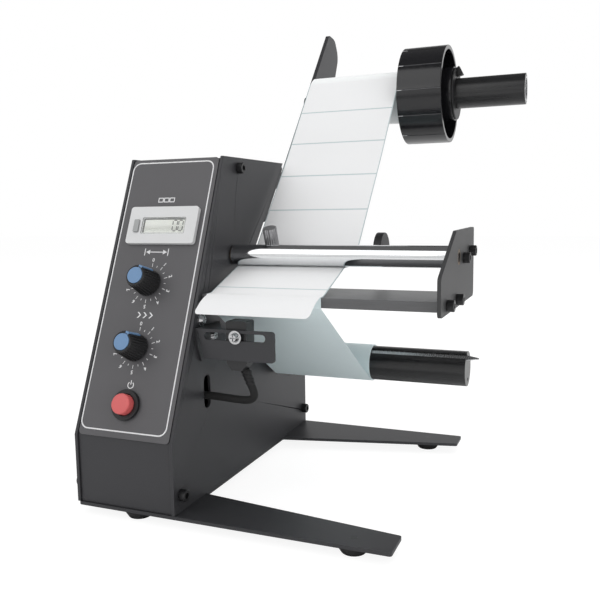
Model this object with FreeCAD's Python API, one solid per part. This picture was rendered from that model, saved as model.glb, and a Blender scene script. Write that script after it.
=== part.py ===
"""Bench label dispenser: a sheet metal body with a label path held out from its right side.

The label roll stands on a tube behind the body. Its web runs down under a chrome roller and over a
peel plate, where a label comes off, and the bare liner goes back to a motor driven drum. Millimetres.
X runs across the body to the right, Y from the front to the back and Z up.
"""
import FreeCAD, Part
import math
import os
from FreeCAD import Matrix, Placement, Rotation, Vector

# Body: side profile and sheet metal
BODY_WIDTH = 66.5
BODY_DEPTH = 198.5
SIDE_PLATE = 2.0
BASE_PLATE = 2.0
FRONT_WALL = 40.8
PANEL_SLOPE = 176.2
PANEL_LEAN = math.radians(23.2)
TOP_DEPTH = 91.5
REAR_SLOPE = 97.1
WEB_ANGLE = math.radians(49.9)
REAR_WALL = 61.0
COVER_SHEET = 1.5
FLANGE_WIDTH = 9.0
FLANGE_SHEET = 1.2
FOOT_FLANGE = 14.0
CORNER_CUT = 3.0

# Base plate legs
LEG_REACH = 124.5
FRONT_LEG_ROOT = 36.0
FRONT_LEG_END = 20.8
REAR_LEG_ROOT = 46.5
REAR_LEG_END = 18.5
LEG_CORNER = 1.5

# Feet
FOOT_HEIGHT = 5.5
FOOT_TOP_RADIUS = 10.0
FOOT_TIP_RADIUS = 6.5
FOOT_INSET = 10.5
FOOT_OUT = 23.0
FOOT_IN = 36.5
FOOT_SCREW_RADIUS = 2.0
FOOT_SCREW_HEAD_RADIUS = 3.6
FOOT_SCREW_HEAD = 1.5
FOOT_RECESS_RADIUS = 4.0
FOOT_RECESS = 3.3

# Screws and rods
SCREW_RADIUS = 2.0
SCREW_HEAD_RADIUS = 3.5
SCREW_HEAD = 4.0
SCREW_LENGTH = 12.0
SMALL_SCREW_RADIUS = 1.5
SMALL_HEAD_RADIUS = 3.2
SMALL_HEAD = 1.8
THREAD_GAP = 0.05
TIE_ROD_RADIUS = 3.5
TIE_ROD_INSET = 7.5
UPPER_ROD_INSET = 6.7
UPPER_ROD_BACK = 19.8

# Control panel
PANEL_THICK = 1.0
PANEL_RECESS = 0.2
PANEL_SIDE_GAP = 0.6
PANEL_CORNER = 2.5
PANEL_CUT_NARROWER = 3.0
PANEL_CUT_LOWER = 2.0
COUNTER_U = -32.9
COUNTER_V = 130.2
COUNTER_WIDTH = 48.0
COUNTER_HEIGHT = 24.0
COUNTER_PROUD = 2.6
COUNTER_DEEP = 40.0
COUNTER_WALL = 1.6
WINDOW_WIDTH = 30.7
WINDOW_HEIGHT = 10.6
WINDOW_THICK = 1.0
WINDOW_SHIFT = 1.1
WINDOW_DROP = 0.4
DISPLAY_NARROWER = 1.6
COUNTER_CORNER = 2.0
COUNTER_FACE = 3.0
DISPLAY_THICK = 1.5
RESET_U = -50.7
RESET_WIDTH = 3.4
RESET_HEIGHT = 8.0
RESET_PROUD = 1.0
RESET_LONG = 3.4
RESET_TRAVEL = 1.0
RESET_DROP = 0.7
KNOB_U = -35.5
LENGTH_KNOB_V = 93.6
SPEED_KNOB_V = 53.7
KNOB_RADIUS = 8.5
KNOB_TOP_RADIUS = 6.6
KNOB_HEIGHT = 15.5
KNOB_GAP = 0.5
CAP_RADIUS = 4.9
CAP_THICK = 1.6
CAP_PROUD = 0.4
POINTER_WIDTH = 2.4
POINTER_DEEP = 0.7
POINTER_PROUD = 0.12
POINTER_START = 0.3
KNOB_NUT_ROOM = 1.0
KNOB_NUT_OVER = 0.6
SHAFT_BELOW_CAP = 1.2
POT_SHAFT_IN = 1.0
LENGTH_POINTER = math.radians(25.0)
SPEED_POINTER = math.radians(25.0)
POT_RADIUS = 8.0
POT_BODY = 8.0
POT_BARREL_RADIUS = 3.5
POT_BARREL_PROUD = 3.6
POT_SHAFT_RADIUS = 3.0
POT_NUT_RADIUS = 5.0
POT_NUT = 2.0
POT_TAG_PITCH = 3.5
POT_TAG_WIDTH = 1.4
POT_TAG_LENGTH = 8.0
POT_TAG_THICK = 0.8
BUTTON_U = -34.5
BUTTON_V = 19.7
BUTTON_BEZEL_RADIUS = 9.0
BUTTON_BEZEL = 2.5
BUTTON_BARREL_RADIUS = 7.8
BUTTON_BARREL = 18.0
BUTTON_CAP_RADIUS = 6.0
BUTTON_PROUD = 7.0
BUTTON_SKIRT = 4.0
BUTTON_STEM_RADIUS = 2.5
BUTTON_STEM = 9.0
BUTTON_ROUNDING = 0.8
SPRING_WIRE = 0.35
SPRING_TURNS = 6
SPRING_CLEAR = 1.6
SWITCH_SIZE = 15.0
SWITCH_DEEP = 12.0
SWITCH_TAG_SHIFT = 4.0
SWITCH_TAG_WIDTH = 0.8
SWITCH_TAG_HEIGHT = 4.0
SWITCH_TAG_LENGTH = 5.0
RUNNING_GAP = 0.05
SLIDE_GAP = 0.2
SOFT_GAP = 0.3

# Label path: web, roller, rods, end plate and peel plate
WEB_SIDE = 3.5
WEB_WIDTH = 71.0
LINER_THICK = 0.2
LABEL_THICK = 0.2
LABEL_MARGIN = 0.6
LABEL_LENGTH = 30.6
LABEL_SPACE = 1.0
LABEL_CUT = 8.0
FIRST_LABEL = 14.7
LABEL_CORNER = 3.0
WEB_PAST_COLLAR = 2.6
KNEE_BACK = 11.2
KNEE_RISE = 12.9
WEB_SAG = 1.1
SAG_BEND = 400.0
KNEE_BEND = 60.0
COLLAR_BEND = 6.0
PEEL_BEND = 8.0
LABEL_TIP_BEND = 25.0
PEEL_FOLD = 0.5
PATH_WIDTH = 140.0
ROLLER_Y = 79.8
ROLLER_Z = 143.5
ROLLER_RADIUS = 6.5
JOURNAL_RADIUS = 3.0
ROLLER_GAP = 1.0
BUSH_WALL = 1.5
BUSH_FLANGE = 0.7
BUSH_INNER_END = 1.5
ROD_RADIUS = 3.0
END_PLATE = 2.0
END_PLATE_OUTLINE = ((29.4, 115.5, 3.0), (132.0, 116.0, 3.0), (131.5, 159.0, 2.0),
                     (71.4, 158.5, 6.0), (29.4, 135.7, 3.0))
COLLAR_ROD_Y = 94.5
COLLAR_ROD_Z = 142.2
GUIDE_ROD_Y = 116.7
GUIDE_ROD_Z = 145.1
GUIDE_ROD_LENGTH = 68.0
PEEL_FRONT = 38.0
PEEL_BACK = 87.0
PEEL_BOTTOM = 117.4
PEEL_THICK = 5.6
PEEL_EDGE = 0.5
PEEL_SCREW_Y = (46.0, 74.0)
PEEL_ANGLE = math.radians(20.0)
RING_RADIUS = 11.0
RING_WIDTH = 5.0
RING_X = 84.0
COLLAR_RADIUS = 5.0
COLLAR_WIDTH = 8.0
COLLAR_X = 17.5
THUMB_LEAN = math.radians(20.0)
THUMB_NECK = 2.0
THUMB_RADIUS = 4.5
THUMB_HEIGHT = 12.0
THUMB_RIDGES = 20
THUMB_RIDGE = 0.35
BUSH_LIP = 1.2
LABEL_TIP = ((30.0, 120.6), (20.5, 114.0))

# Take-up drum and its drive
DRUM_Y = 140.0
DRUM_Z = 66.5
DRUM_RADIUS = 11.5
DRUM_GAP = 1.5
DRUM_SHORT = 2.0
DRUM_BORE_DEPTH = 24.0
GROOVE_ANGLE = math.radians(57.0)
GROOVE_WIDTH = 4.8
GROOVE_DEPTH = 2.4
CLIP_THICK = 0.9
CLIP_TIP = 8.0
WOUND_THICK = 0.9
DRUM_HOLE_RADIUS = 1.3
SHAFT_RADIUS = 5.0
DRUM_HOLE_DEPTH = 6.0
DRUM_HOLE_DROP = 7.1
RING_GROOVE = 0.5
RING_THICK = 1.0
RING_WIDE = 3.0
RING_OPENING = 3.0
RING_FROM_BOSS = 0.2
SHAFT_BEYOND_BOSS = 2.5
BUSH_PROUD = 0.5
BORE_CLEAR = 0.1
DRUM_BUSH_WALL = 2.0
BOSS_WALL = 3.0
BOSS_HEIGHT = 4.0
BRACKET_STAND = 20.0
BRACKET_SHEET = 2.0
BRACKET_MARGIN = 12.0
BRACKET_BEYOND_GEAR = 9.0
BRACKET_SHOULDER = 22.0
STANDOFF_RADIUS = 3.5
MODULE = 1.0
PRESSURE_ANGLE = math.radians(20.0)
PINION_PROUD = 0.5
MOTOR_SHAFT_IN = 6.0
BRACKET_CORNER = 4.0
BRACKET_SCREW = 8.0
DRUM_TEETH = 40
PINION_TEETH = 20
GEAR_FACE = 8.0
GEAR_HUB = 4.0
GEAR_HUB_RADIUS = 9.0
GEAR_INSET = 6.0
BACKLASH = 0.12
CENTRE_SLACK = 0.1
MOTOR_BEARING = math.radians(162.0)
GEARBOX_RADIUS = 16.0
GEARBOX_LENGTH = 20.0
MOTOR_RADIUS = 12.0
MOTOR_LENGTH = 15.0
MOTOR_SHAFT_RADIUS = 3.0

# Supply arm, tube, hub and roll
ARM_SHEET = 3.0
ROLL_Y = 224.0
ROLL_Z = 254.5
ROLL_RADIUS = 19.0
CORE_RADIUS = 15.5
TUBE_RADIUS = 10.9
TUBE_WALL = 2.0
TUBE_LENGTH = 163.0
TUBE_PLUG = 16.0
ARM_BOLT_RADIUS = 4.0
ARM_BOLT_HEAD_RADIUS = 5.5
ARM_BOLT_HEAD = 3.0
ARM_FRONT_LENGTH = 175.0
ARM_FRONT_START = 24.0
ARM_FRONT_BACK = 7.3
ARM_NECK_LOW = 10.0
ARM_NECK_HIGH = 2.0
ARM_NECK_BEND = 3.0
ARM_NOSE_BEND = 3.5
ARM_CREST_BACK = 13.8
ARM_CREST_DROP = 1.4
ARM_CREST_BEND = 8.0
ARM_WAIST_Y = 259.0
ARM_WAIST_Z = 244.9
ARM_WAIST_BEND = 30.0
ARM_SHOULDER_BACK = 22.5
ARM_SHOULDER_DROP = 14.1
ARM_SHOULDER_BEND = 12.0
ARM_FOOT_Y = 176.0
ARM_FLANGE_LENGTH = 50.0
ARM_FLANGE_WIDTH = 42.0
ARM_FLANGE_TOP = 3.0
ARM_FLANGE_CORNER = 1.0
ARM_SCREW_MARGIN = 8.0
ARM_SCREW_SHIFT = 2.0
ARM_SCREW_HEAD = 2.2
ARM_SCREW_GRIP = 3.0
TUBE_CAP = 6.0
TUBE_CAP_DISH = 4.0
TUBE_CAP_RIM = 1.5
HUB_X = 77.0
HUB_RADIUS = 35.0
HUB_LENGTH = 31.7
HUB_WALL = 3.0
HUB_DISC = 3.0
HUB_SEAMS = 12
HUB_SEAM_DEPTH = 0.35
HUB_BOSS_RADIUS = 19.2
HUB_BOSS_PROUD = 4.0
HUB_RIB = 2.0
HUB_RIBS = 6
HUB_FIRST_RIB = 30.0
HUB_RIB_SHORT = 14.0
HUB_SEAM_WIDTH = 0.5
BUSH_RADIUS = 13.2
BUSH_COLLAR = 1.2
BUSH_COLLAR_RADIUS = 18.6
CLIP_HEIGHT = 7.5
CLIP_REACH = 4.6
CLIP_WIDTH = 5.0
CLIP_OVER_TUBE = 1.2
CLIP_FOOT_SHARE = 0.15
CLIP_TOP = 1.4
CLIP_SHOULDER_SHARE = 0.9

# Gap sensor and its bracket
BRACKET_FRONT = 29.0
BRACKET_THICK = 1.5
BRACKET_X = 1.2
BRACKET_END = 50.0
BRACKET_LOW = 86.6
BRACKET_HIGH = 104.2
BRACKET_TAPER = 4.0
BRACKET_ROUNDING = 2.0
WING_ROUNDING = 3.0
WING_STEP = 4.0
WING_RISE = 10.0
WING_DROP = 8.0
WING_CUT = 14.0
SENSOR_ROUNDING = 1.2
SENSOR_SCREW_LENGTH = 10.0
SENSOR_SCREW_SHIFT = 0.5
PLATE_GRIP = 3.0
SLOT_START = 5.7
SLOT_END = 44.5
SLOT_Z = 100.2
SLOT_WIDTH = 4.4
WING_LENGTH = 43.0
WING_LOW = 84.0
TOP_WING_WIDTH = 17.5
TOP_WING_DEPTH = 29.0
BRACKET_SCREWS = ((47.7, 97.2), (64.0, 89.0))
PLATE_SCREW = (35.8, 108.2)
SENSOR_X = 25.5
SENSOR_WIDTH = 13.0
SENSOR_DEPTH = 10.3
SENSOR_LOW = 85.0
SENSOR_HIGH = 109.0
SENSOR_CHIN = 4.5
SENSOR_CHIN_WIDTH = 6.5
SENSOR_SCREW_HEAD = 2.6
SENSOR_SCREW_HEAD_RADIUS = 2.9
WASHER_RADIUS = 3.9
WASHER_THICK = 0.8
RELIEF_TOP_RADIUS = 3.2
RELIEF_TIP_RADIUS = 2.6
RELIEF_SHIFT = 3.4
RELIEF_X = 31.0
RELIEF_Y = 37.2
RELIEF_FOOT = 71.5
RELIEF_RIBS = 4
RELIEF_RIB_DEPTH = 0.5
CABLE_RADIUS = 2.3
CABLE_POINTS = ((30.4, 37.1, 72.7), (33.6, 37.7, 66.4), (31.0, 38.8, 62.0), (24.0, 40.0, 60.9),
                (12.0, 40.8, 61.3), (0.0, 41.0, 61.7), (-11.0, 41.0, 61.0))
CABLE_SLOT_Y = 41.0
CABLE_SLOT_WIDTH = 7.6
CABLE_SLOT_LOW = 54.0
CABLE_SLOT_HIGH = 74.0

# Electrics on the left side plate, the base plate and the rear wall
BOARD_FRONT = 42.0
BOARD_LOW = 40.0
BOARD_LENGTH = 50.0
BOARD_HEIGHT = 55.0
BOARD_THICK = 1.6
BOARD_STAND = 6.0
BOARD_SCREW_INSET = 4.0
BOARD_HEAD_SHARE = 0.85
BOARD_CHIPS = ((2.0, 12.0, 20.0, 10.0, 10.0), (7.0, 14.0, 2.5, 20.0, 6.5), (5.0, 20.0, 36.0, 20.0, 8.0))
BOARD_CANS = ((30.0, 22.0), (41.0, 22.0))
BOARD_CAN_RADIUS = 4.0
BOARD_CAN_HEIGHT = 10.0
SUPPLY_FRONT = 32.0
SUPPLY_LENGTH = 76.0
SUPPLY_WIDTH = 30.0
SUPPLY_HEIGHT = 28.0
INLET_IN = 44.0
INLET_Z = 33.0
INLET_WIDTH = 27.0
INLET_HEIGHT = 20.0
INLET_FLANGE = 50.0
INLET_FLANGE_HEIGHT = 24.0
INLET_FLANGE_THICK = 2.2
INLET_DEEP = 22.0
INLET_WALL = 1.5
INLET_FLOOR = 4.0
INLET_EDGE = 0.5
INLET_SCREW = 8.0
INLET_PINS = ((-7.0, -2.0), (0.0, 2.0), (7.0, -2.0))
PIN_WIDTH = 2.0
PIN_HEIGHT = 4.0
PIN_SHORT = 4.0
FUSE_IN = 9.5
FUSE_RADIUS = 5.0
FUSE_FLANGE_RADIUS = 6.5
FUSE_DEEP = 26.0
FUSE_PROUD = 4.0

RIGHT = Vector(1, 0, 0)
BACK = Vector(0, 1, 0)
UP = Vector(0, 0, 1)
LEFT_INNER = SIDE_PLATE - BODY_WIDTH
PROUD = PANEL_RECESS + PANEL_THICK
FACE = PATH_WIDTH + END_PLATE
DRUM_END = PATH_WIDTH - DRUM_SHORT
PEEL_TOP = PEEL_BOTTOM + PEEL_THICK
WEB_THICK = LINER_THICK + LABEL_THICK
SIDE_FRAME = Placement(Vector(0, 0, 0), Rotation(BACK, UP, RIGHT, "XYZ"))

# Corners of the side profile as (y, z), from the front foot round over the top
PANEL_FOOT = (0.0, BASE_PLATE + FRONT_WALL)
PANEL_TOP = (PANEL_FOOT[0] + PANEL_SLOPE * math.sin(PANEL_LEAN),
             PANEL_FOOT[1] + PANEL_SLOPE * math.cos(PANEL_LEAN))
TOP_REAR = (PANEL_TOP[0] + TOP_DEPTH, PANEL_TOP[1])
NOTCH = (TOP_REAR[0] - REAR_SLOPE * math.cos(WEB_ANGLE), TOP_REAR[1] - REAR_SLOPE * math.sin(WEB_ANGLE))
REAR_TOP = (BODY_DEPTH, BASE_PLATE + REAR_WALL)

PANEL_UP = Vector(0, math.sin(PANEL_LEAN), math.cos(PANEL_LEAN))
PANEL_OUT = Vector(0, -math.cos(PANEL_LEAN), math.sin(PANEL_LEAN))
PANEL_ORIGIN = Vector(0, PANEL_FOOT[0], PANEL_FOOT[1]) - PANEL_OUT * PANEL_RECESS
PANEL_FRAME = Placement(PANEL_ORIGIN, Rotation(RIGHT, PANEL_UP, PANEL_OUT, "XYZ"))
WALL_UP = Vector(0, math.cos(WEB_ANGLE), math.sin(WEB_ANGLE))
WALL_OUT = Vector(0, math.sin(WEB_ANGLE), -math.cos(WEB_ANGLE))

TIE_RODS = ((TIE_ROD_INSET, BASE_PLATE + TIE_ROD_INSET + 2.5),
            (BODY_DEPTH - TIE_ROD_INSET + 1.0, BASE_PLATE + TIE_ROD_INSET + 4.5),
            (PANEL_TOP[0] + UPPER_ROD_BACK, PANEL_TOP[1] - UPPER_ROD_INSET))
GEAR_CENTRES = MODULE * (DRUM_TEETH + PINION_TEETH) / 2 + CENTRE_SLACK
MOTOR_Y = DRUM_Y + GEAR_CENTRES * math.cos(MOTOR_BEARING)
MOTOR_Z = DRUM_Z + GEAR_CENTRES * math.sin(MOTOR_BEARING)
BRACKET_FACE = -SIDE_PLATE - BRACKET_STAND
FEET = tuple((x, y) for x in (LEG_REACH - FOOT_OUT, -BODY_WIDTH + FOOT_IN)
             for y in (FOOT_INSET, BODY_DEPTH - FOOT_INSET))

parts = {}


def outline(corners):
    """Closed wire in the XY plane through (x, y) or (x, y, radius) corners."""
    count = len(corners)
    rounded = []
    for index, corner in enumerate(corners):
        here = Vector(corner[0], corner[1], 0)
        radius = corner[2] if len(corner) > 2 else 0
        if radius <= 0:
            rounded.append((here, None, here))
            continue
        back = Vector(corners[index - 1][0], corners[index - 1][1], 0) - here
        onward = Vector(corners[(index + 1) % count][0], corners[(index + 1) % count][1], 0) - here
        back.normalize()
        onward.normalize()
        half = back.getAngle(onward) / 2
        middle = back + onward
        middle.normalize()
        reach = radius / math.tan(half)
        rounded.append((here + back * reach, here + middle * (radius / math.sin(half) - radius),
                        here + onward * reach))
    edges = []
    for index, (start, middle, end) in enumerate(rounded):
        if middle is not None:
            edges.append(Part.Arc(start, middle, end).toShape())
        following = rounded[(index + 1) % count][0]
        if end.distanceToPoint(following) > 1e-6:
            edges.append(Part.LineSegment(end, following).toShape())
    return Part.Wire(edges)


def prism(corners, low, high, frame=Placement()):
    """Solid over an outline, from low to high along the frame's third direction."""
    face = Part.Face(outline(corners))
    face.translate(Vector(0, 0, low))
    solid = face.extrude(Vector(0, 0, high - low))
    solid.transformShape(frame.toMatrix())
    return solid


def side_prism(corners, x0, x1):
    """Solid over an outline of (y, z) corners, from x0 to x1."""
    return prism(corners, x0, x1, SIDE_FRAME)


def box(x0, x1, y0, y1, z0, z1):
    """Block between two corners."""
    return Part.makeBox(x1 - x0, y1 - y0, z1 - z0, Vector(x0, y0, z0))


def rod(radius, x0, x1, y, z):
    """Cylinder along X."""
    return Part.makeCylinder(radius, x1 - x0, Vector(x0, y, z), RIGHT)


def pipe(outer, inner, x0, x1, y, z):
    """Ring or tube along X."""
    return rod(outer, x0, x1, y, z).cut(rod(inner, x0, x1, y, z))


def rectangle(u, v, width, height, radius=0.0):
    """Corners of a rectangle about its centre."""
    left, right = u - width / 2, u + width / 2
    low, high = v - height / 2, v + height / 2
    return ((left, low, radius), (right, low, radius), (right, high, radius), (left, high, radius))


def on_panel(u, v, w):
    """Point u across the control panel, v up its slope and w out of its face."""
    return PANEL_ORIGIN + RIGHT * u + PANEL_UP * v + PANEL_OUT * w


def panel_rod(radius, u, v, w0, w1):
    """Cylinder standing on the control panel."""
    return Part.makeCylinder(radius, w1 - w0, on_panel(u, v, w0), PANEL_OUT)


def panel_block(corners, w0, w1):
    """Block standing on the control panel."""
    return prism(corners, w0, w1, PANEL_FRAME)


def group(shapes):
    """Several separate solids in one node."""
    return Part.makeCompound(list(shapes))


def inset(points, distance):
    """Closed polygon moved inward by a distance; the points run clockwise seen from +X."""
    moved = []
    count = len(points)
    for index in range(count):
        before, here, after = points[index - 1], points[index], points[(index + 1) % count]
        first = (here[0] - before[0], here[1] - before[1])
        second = (after[0] - here[0], after[1] - here[1])
        first_length = math.hypot(*first)
        second_length = math.hypot(*second)
        first_normal = (first[1] / first_length, -first[0] / first_length)
        second_normal = (second[1] / second_length, -second[0] / second_length)
        share = 1 + first_normal[0] * second_normal[0] + first_normal[1] * second_normal[1]
        moved.append((here[0] + distance * (first_normal[0] + second_normal[0]) / share,
                      here[1] + distance * (first_normal[1] + second_normal[1]) / share))
    return moved


def ribbon(path, thickness, x0, x1):
    """Strip of sheet whose upper face follows (y, z, radius) points and whose body lies to their left."""
    upper, lower = [], []
    for index, (y, z, radius) in enumerate(path):
        here = Vector(y, z, 0)
        ways = []
        if index > 0:
            ways.append(here - Vector(path[index - 1][0], path[index - 1][1], 0))
        if index < len(path) - 1:
            ways.append(Vector(path[index + 1][0], path[index + 1][1], 0) - here)
        for way in ways:
            way.normalize()
        normals = [Vector(-way.y, way.x, 0) for way in ways]
        total = normals[0] + normals[-1]
        shift = total * (thickness / (1 + normals[0].dot(normals[-1])))
        turn = ways[0].cross(ways[-1]).z
        inner = radius - thickness if turn > 0 else radius + thickness
        upper.append((y, z, radius))
        lower.append((y + shift.x, z + shift.y, inner if radius > 0 else 0))
    return side_prism(upper + lower[::-1], x0, x1)


def frame_along(start, axis):
    """Placement whose third direction is an axis."""
    return Placement(start, Rotation(UP, axis))


def socket_screw(start, axis, radius, length, head_radius, head, socket=True):
    """Screw whose head stands back from start, against the axis, and whose shank runs along it."""
    frame = frame_along(start, axis)
    body = Part.makeCylinder(radius, length)
    cap = Part.makeCylinder(head_radius, head, Vector(0, 0, -head))
    cap = cap.makeChamfer(head * 0.08, [cap.Edges[0], cap.Edges[2]])
    if socket:
        hexagon = [(head_radius * 0.55 * math.cos(math.radians(60 * k)),
                    head_radius * 0.55 * math.sin(math.radians(60 * k))) for k in range(6)]
        cap = cap.cut(prism(hexagon, -head - 1, -head * 0.45))
    screw = body.fuse(cap)
    screw.transformShape(frame.toMatrix())
    return screw


def cross_screw(start, axis, radius, length, head_radius, head):
    """Screw with a low domed head and a cross recess."""
    frame = frame_along(start, axis)
    cap = Part.makeCone(head_radius, head_radius * 0.65, head)
    cap.Placement = Placement(Vector(0, 0, 0), Rotation(RIGHT, 180))
    recess = box(-head_radius * 0.6, head_radius * 0.6, -0.35, 0.35, -head - 1, -head * 0.4)
    turned = recess.copy()
    turned.rotate(Vector(0, 0, 0), UP, 90)
    screw = Part.makeCylinder(radius, length).fuse(cap).cut(recess).cut(turned)
    screw.transformShape(frame.toMatrix())
    return screw


def gear(teeth, x0, x1, y, z, bore, phase):
    """Involute spur gear along X; a tooth stands at the phase angle, measured from +Y towards +Z."""
    pitch = MODULE * teeth / 2
    base = pitch * math.cos(PRESSURE_ANGLE)
    tip = pitch + MODULE
    root = pitch - 1.25 * MODULE
    involute = math.tan(PRESSURE_ANGLE) - PRESSURE_ANGLE
    half_at_base = math.pi / (2 * teeth) - BACKLASH / (2 * pitch) + involute
    flank = [(root, half_at_base)]
    for share in (0.0, 0.35, 0.7, 1.0):
        radius = max(base + (tip - base) * share, base)
        angle = math.acos(min(1.0, base / radius))
        flank.append((radius, half_at_base - math.tan(angle) + angle))
    corners = []
    for tooth in range(teeth):
        middle = phase + 2 * math.pi * tooth / teeth
        for radius, half in flank:
            corners.append((y + radius * math.cos(middle - half), z + radius * math.sin(middle - half)))
        for radius, half in reversed(flank):
            corners.append((y + radius * math.cos(middle + half), z + radius * math.sin(middle + half)))
    return side_prism(corners, x0, x1).cut(rod(bore, x0 - 1, x1 + 1, y, z))


def tangent_point(point, centre, radius, side):
    """Where a line from a (y, z) point touches a circle, on the side given by +1 or -1."""
    across = (point[0] - centre[0], point[1] - centre[1])
    distance = math.hypot(*across)
    angle = math.atan2(across[1], across[0]) + side * math.acos(radius / distance)
    return centre[0] + radius * math.cos(angle), centre[1] + radius * math.sin(angle)


def body_shell():
    """Base plate with its legs, two side plates, front and rear cover, rods and their screws."""
    rear_root = BODY_DEPTH - REAR_LEG_ROOT
    base = prism(((-BODY_WIDTH, 0, CORNER_CUT), (LEG_REACH, 0, LEG_CORNER),
                  (LEG_REACH, FRONT_LEG_END, LEG_CORNER), (0, FRONT_LEG_ROOT, LEG_CORNER),
                  (0, rear_root, LEG_CORNER), (LEG_REACH, BODY_DEPTH - REAR_LEG_END, LEG_CORNER),
                  (LEG_REACH, BODY_DEPTH, LEG_CORNER), (-BODY_WIDTH, BODY_DEPTH, CORNER_CUT)),
                 0, BASE_PLATE)
    for x, y in FEET:
        base = base.cut(Part.makeCylinder(FOOT_SCREW_RADIUS + THREAD_GAP, BASE_PLATE, Vector(x, y, 0)))
    profile = ((0, BASE_PLATE), PANEL_FOOT, PANEL_TOP, TOP_REAR, NOTCH, REAR_TOP, (BODY_DEPTH, BASE_PLATE))
    right = side_prism(profile, -SIDE_PLATE, 0)
    left = side_prism(profile, -BODY_WIDTH, LEFT_INNER)
    flange_top = BASE_PLATE + SIDE_PLATE
    flange_front = COVER_SHEET + PROUD + FLANGE_WIDTH
    flange_back = BODY_DEPTH - flange_front
    right = right.fuse(box(-SIDE_PLATE - FOOT_FLANGE, -SIDE_PLATE, flange_front, flange_back,
                           BASE_PLATE, flange_top))
    left = left.fuse(box(LEFT_INNER, LEFT_INNER + FOOT_FLANGE, flange_front, flange_back,
                         BASE_PLATE, flange_top))
    base_screws = []
    for x in (-SIDE_PLATE - FOOT_FLANGE / 2, LEFT_INNER + FOOT_FLANGE / 2):
        for y in (flange_front + FOOT_FLANGE / 2, flange_back - FOOT_FLANGE / 2):
            hole = Part.makeCylinder(SMALL_SCREW_RADIUS + THREAD_GAP, flange_top, Vector(x, y, 0))
            base = base.cut(hole)
            right = right.cut(hole)
            left = left.cut(hole)
            base_screws.append(cross_screw(Vector(x, y, 0), UP, SMALL_SCREW_RADIUS, flange_top + 2,
                                           SMALL_HEAD_RADIUS, SMALL_HEAD))
    tall = ((0, -60), PANEL_FOOT, PANEL_TOP, TOP_REAR, NOTCH, REAR_TOP, (BODY_DEPTH, -60))
    outer = inset(tall, PROUD)
    inner = inset(tall, PROUD + COVER_SHEET)
    deep = inset(tall, PROUD + COVER_SHEET + FLANGE_WIDTH)
    above = box(-BODY_WIDTH, 0, 0, BODY_DEPTH, BASE_PLATE, PANEL_TOP[1] + 10)
    covers = []
    for first, last in ((0, 3), (3, 6)):
        skin = outer[first:last + 1] + inner[first:last + 1][::-1]
        flange = inner[first:last + 1] + deep[first:last + 1][::-1]
        cover = side_prism(skin, LEFT_INNER, -SIDE_PLATE)
        cover = cover.fuse(side_prism(flange, LEFT_INNER, LEFT_INNER + FLANGE_SHEET))
        cover = cover.fuse(side_prism(flange, -SIDE_PLATE - FLANGE_SHEET, -SIDE_PLATE))
        covers.append(cover.common(above))
    rods, screws = [], []
    for y, z in TIE_RODS:
        bar = rod(TIE_ROD_RADIUS, LEFT_INNER, -SIDE_PLATE, y, z)
        room = rod(TIE_ROD_RADIUS + SLIDE_GAP, LEFT_INNER, -SIDE_PLATE, y, z)
        covers = [cover.cut(room) for cover in covers]
        reach = SCREW_LENGTH + SIDE_PLATE
        right = right.cut(rod(SCREW_RADIUS + THREAD_GAP, -SIDE_PLATE, 0, y, z))
        left = left.cut(rod(SCREW_RADIUS + THREAD_GAP, -BODY_WIDTH, LEFT_INNER, y, z))
        bar = bar.cut(rod(SCREW_RADIUS + THREAD_GAP, -reach, -SIDE_PLATE, y, z))
        bar = bar.cut(rod(SCREW_RADIUS + THREAD_GAP, LEFT_INNER, -BODY_WIDTH + reach, y, z))
        rods.append(bar)
        for x, axis in ((0, -RIGHT), (-BODY_WIDTH, RIGHT)):
            screws.append(socket_screw(Vector(x, y, z), axis, SCREW_RADIUS, reach, SCREW_HEAD_RADIUS,
                                       SCREW_HEAD))
    parts["base_plate"] = base
    parts["right_side_plate"] = right
    parts["left_side_plate"] = left
    parts["front_cover"], parts["rear_cover"] = covers
    parts["tie_rods"] = group(rods)
    parts["side_plate_screws"] = group(screws)
    parts["base_screws"] = group(base_screws)


def feet():
    """Four rubber feet, each held by a screw from below."""
    rubber, screws = [], []
    for x, y in FEET:
        foot = Part.makeCone(FOOT_TIP_RADIUS, FOOT_TOP_RADIUS, FOOT_HEIGHT, Vector(x, y, -FOOT_HEIGHT))
        recess = Part.makeCylinder(FOOT_RECESS_RADIUS, FOOT_RECESS, Vector(x, y, -FOOT_HEIGHT))
        hole = Part.makeCylinder(FOOT_SCREW_RADIUS + THREAD_GAP, FOOT_HEIGHT, Vector(x, y, -FOOT_HEIGHT))
        rubber.append(foot.cut(recess).cut(hole))
        screws.append(cross_screw(Vector(x, y, FOOT_RECESS - FOOT_HEIGHT), UP, FOOT_SCREW_RADIUS,
                                  FOOT_HEIGHT - FOOT_RECESS + BASE_PLATE, FOOT_SCREW_HEAD_RADIUS,
                                  FOOT_SCREW_HEAD))
    parts["rubber_feet"] = group(rubber)
    parts["foot_screws"] = group(screws)


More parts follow.
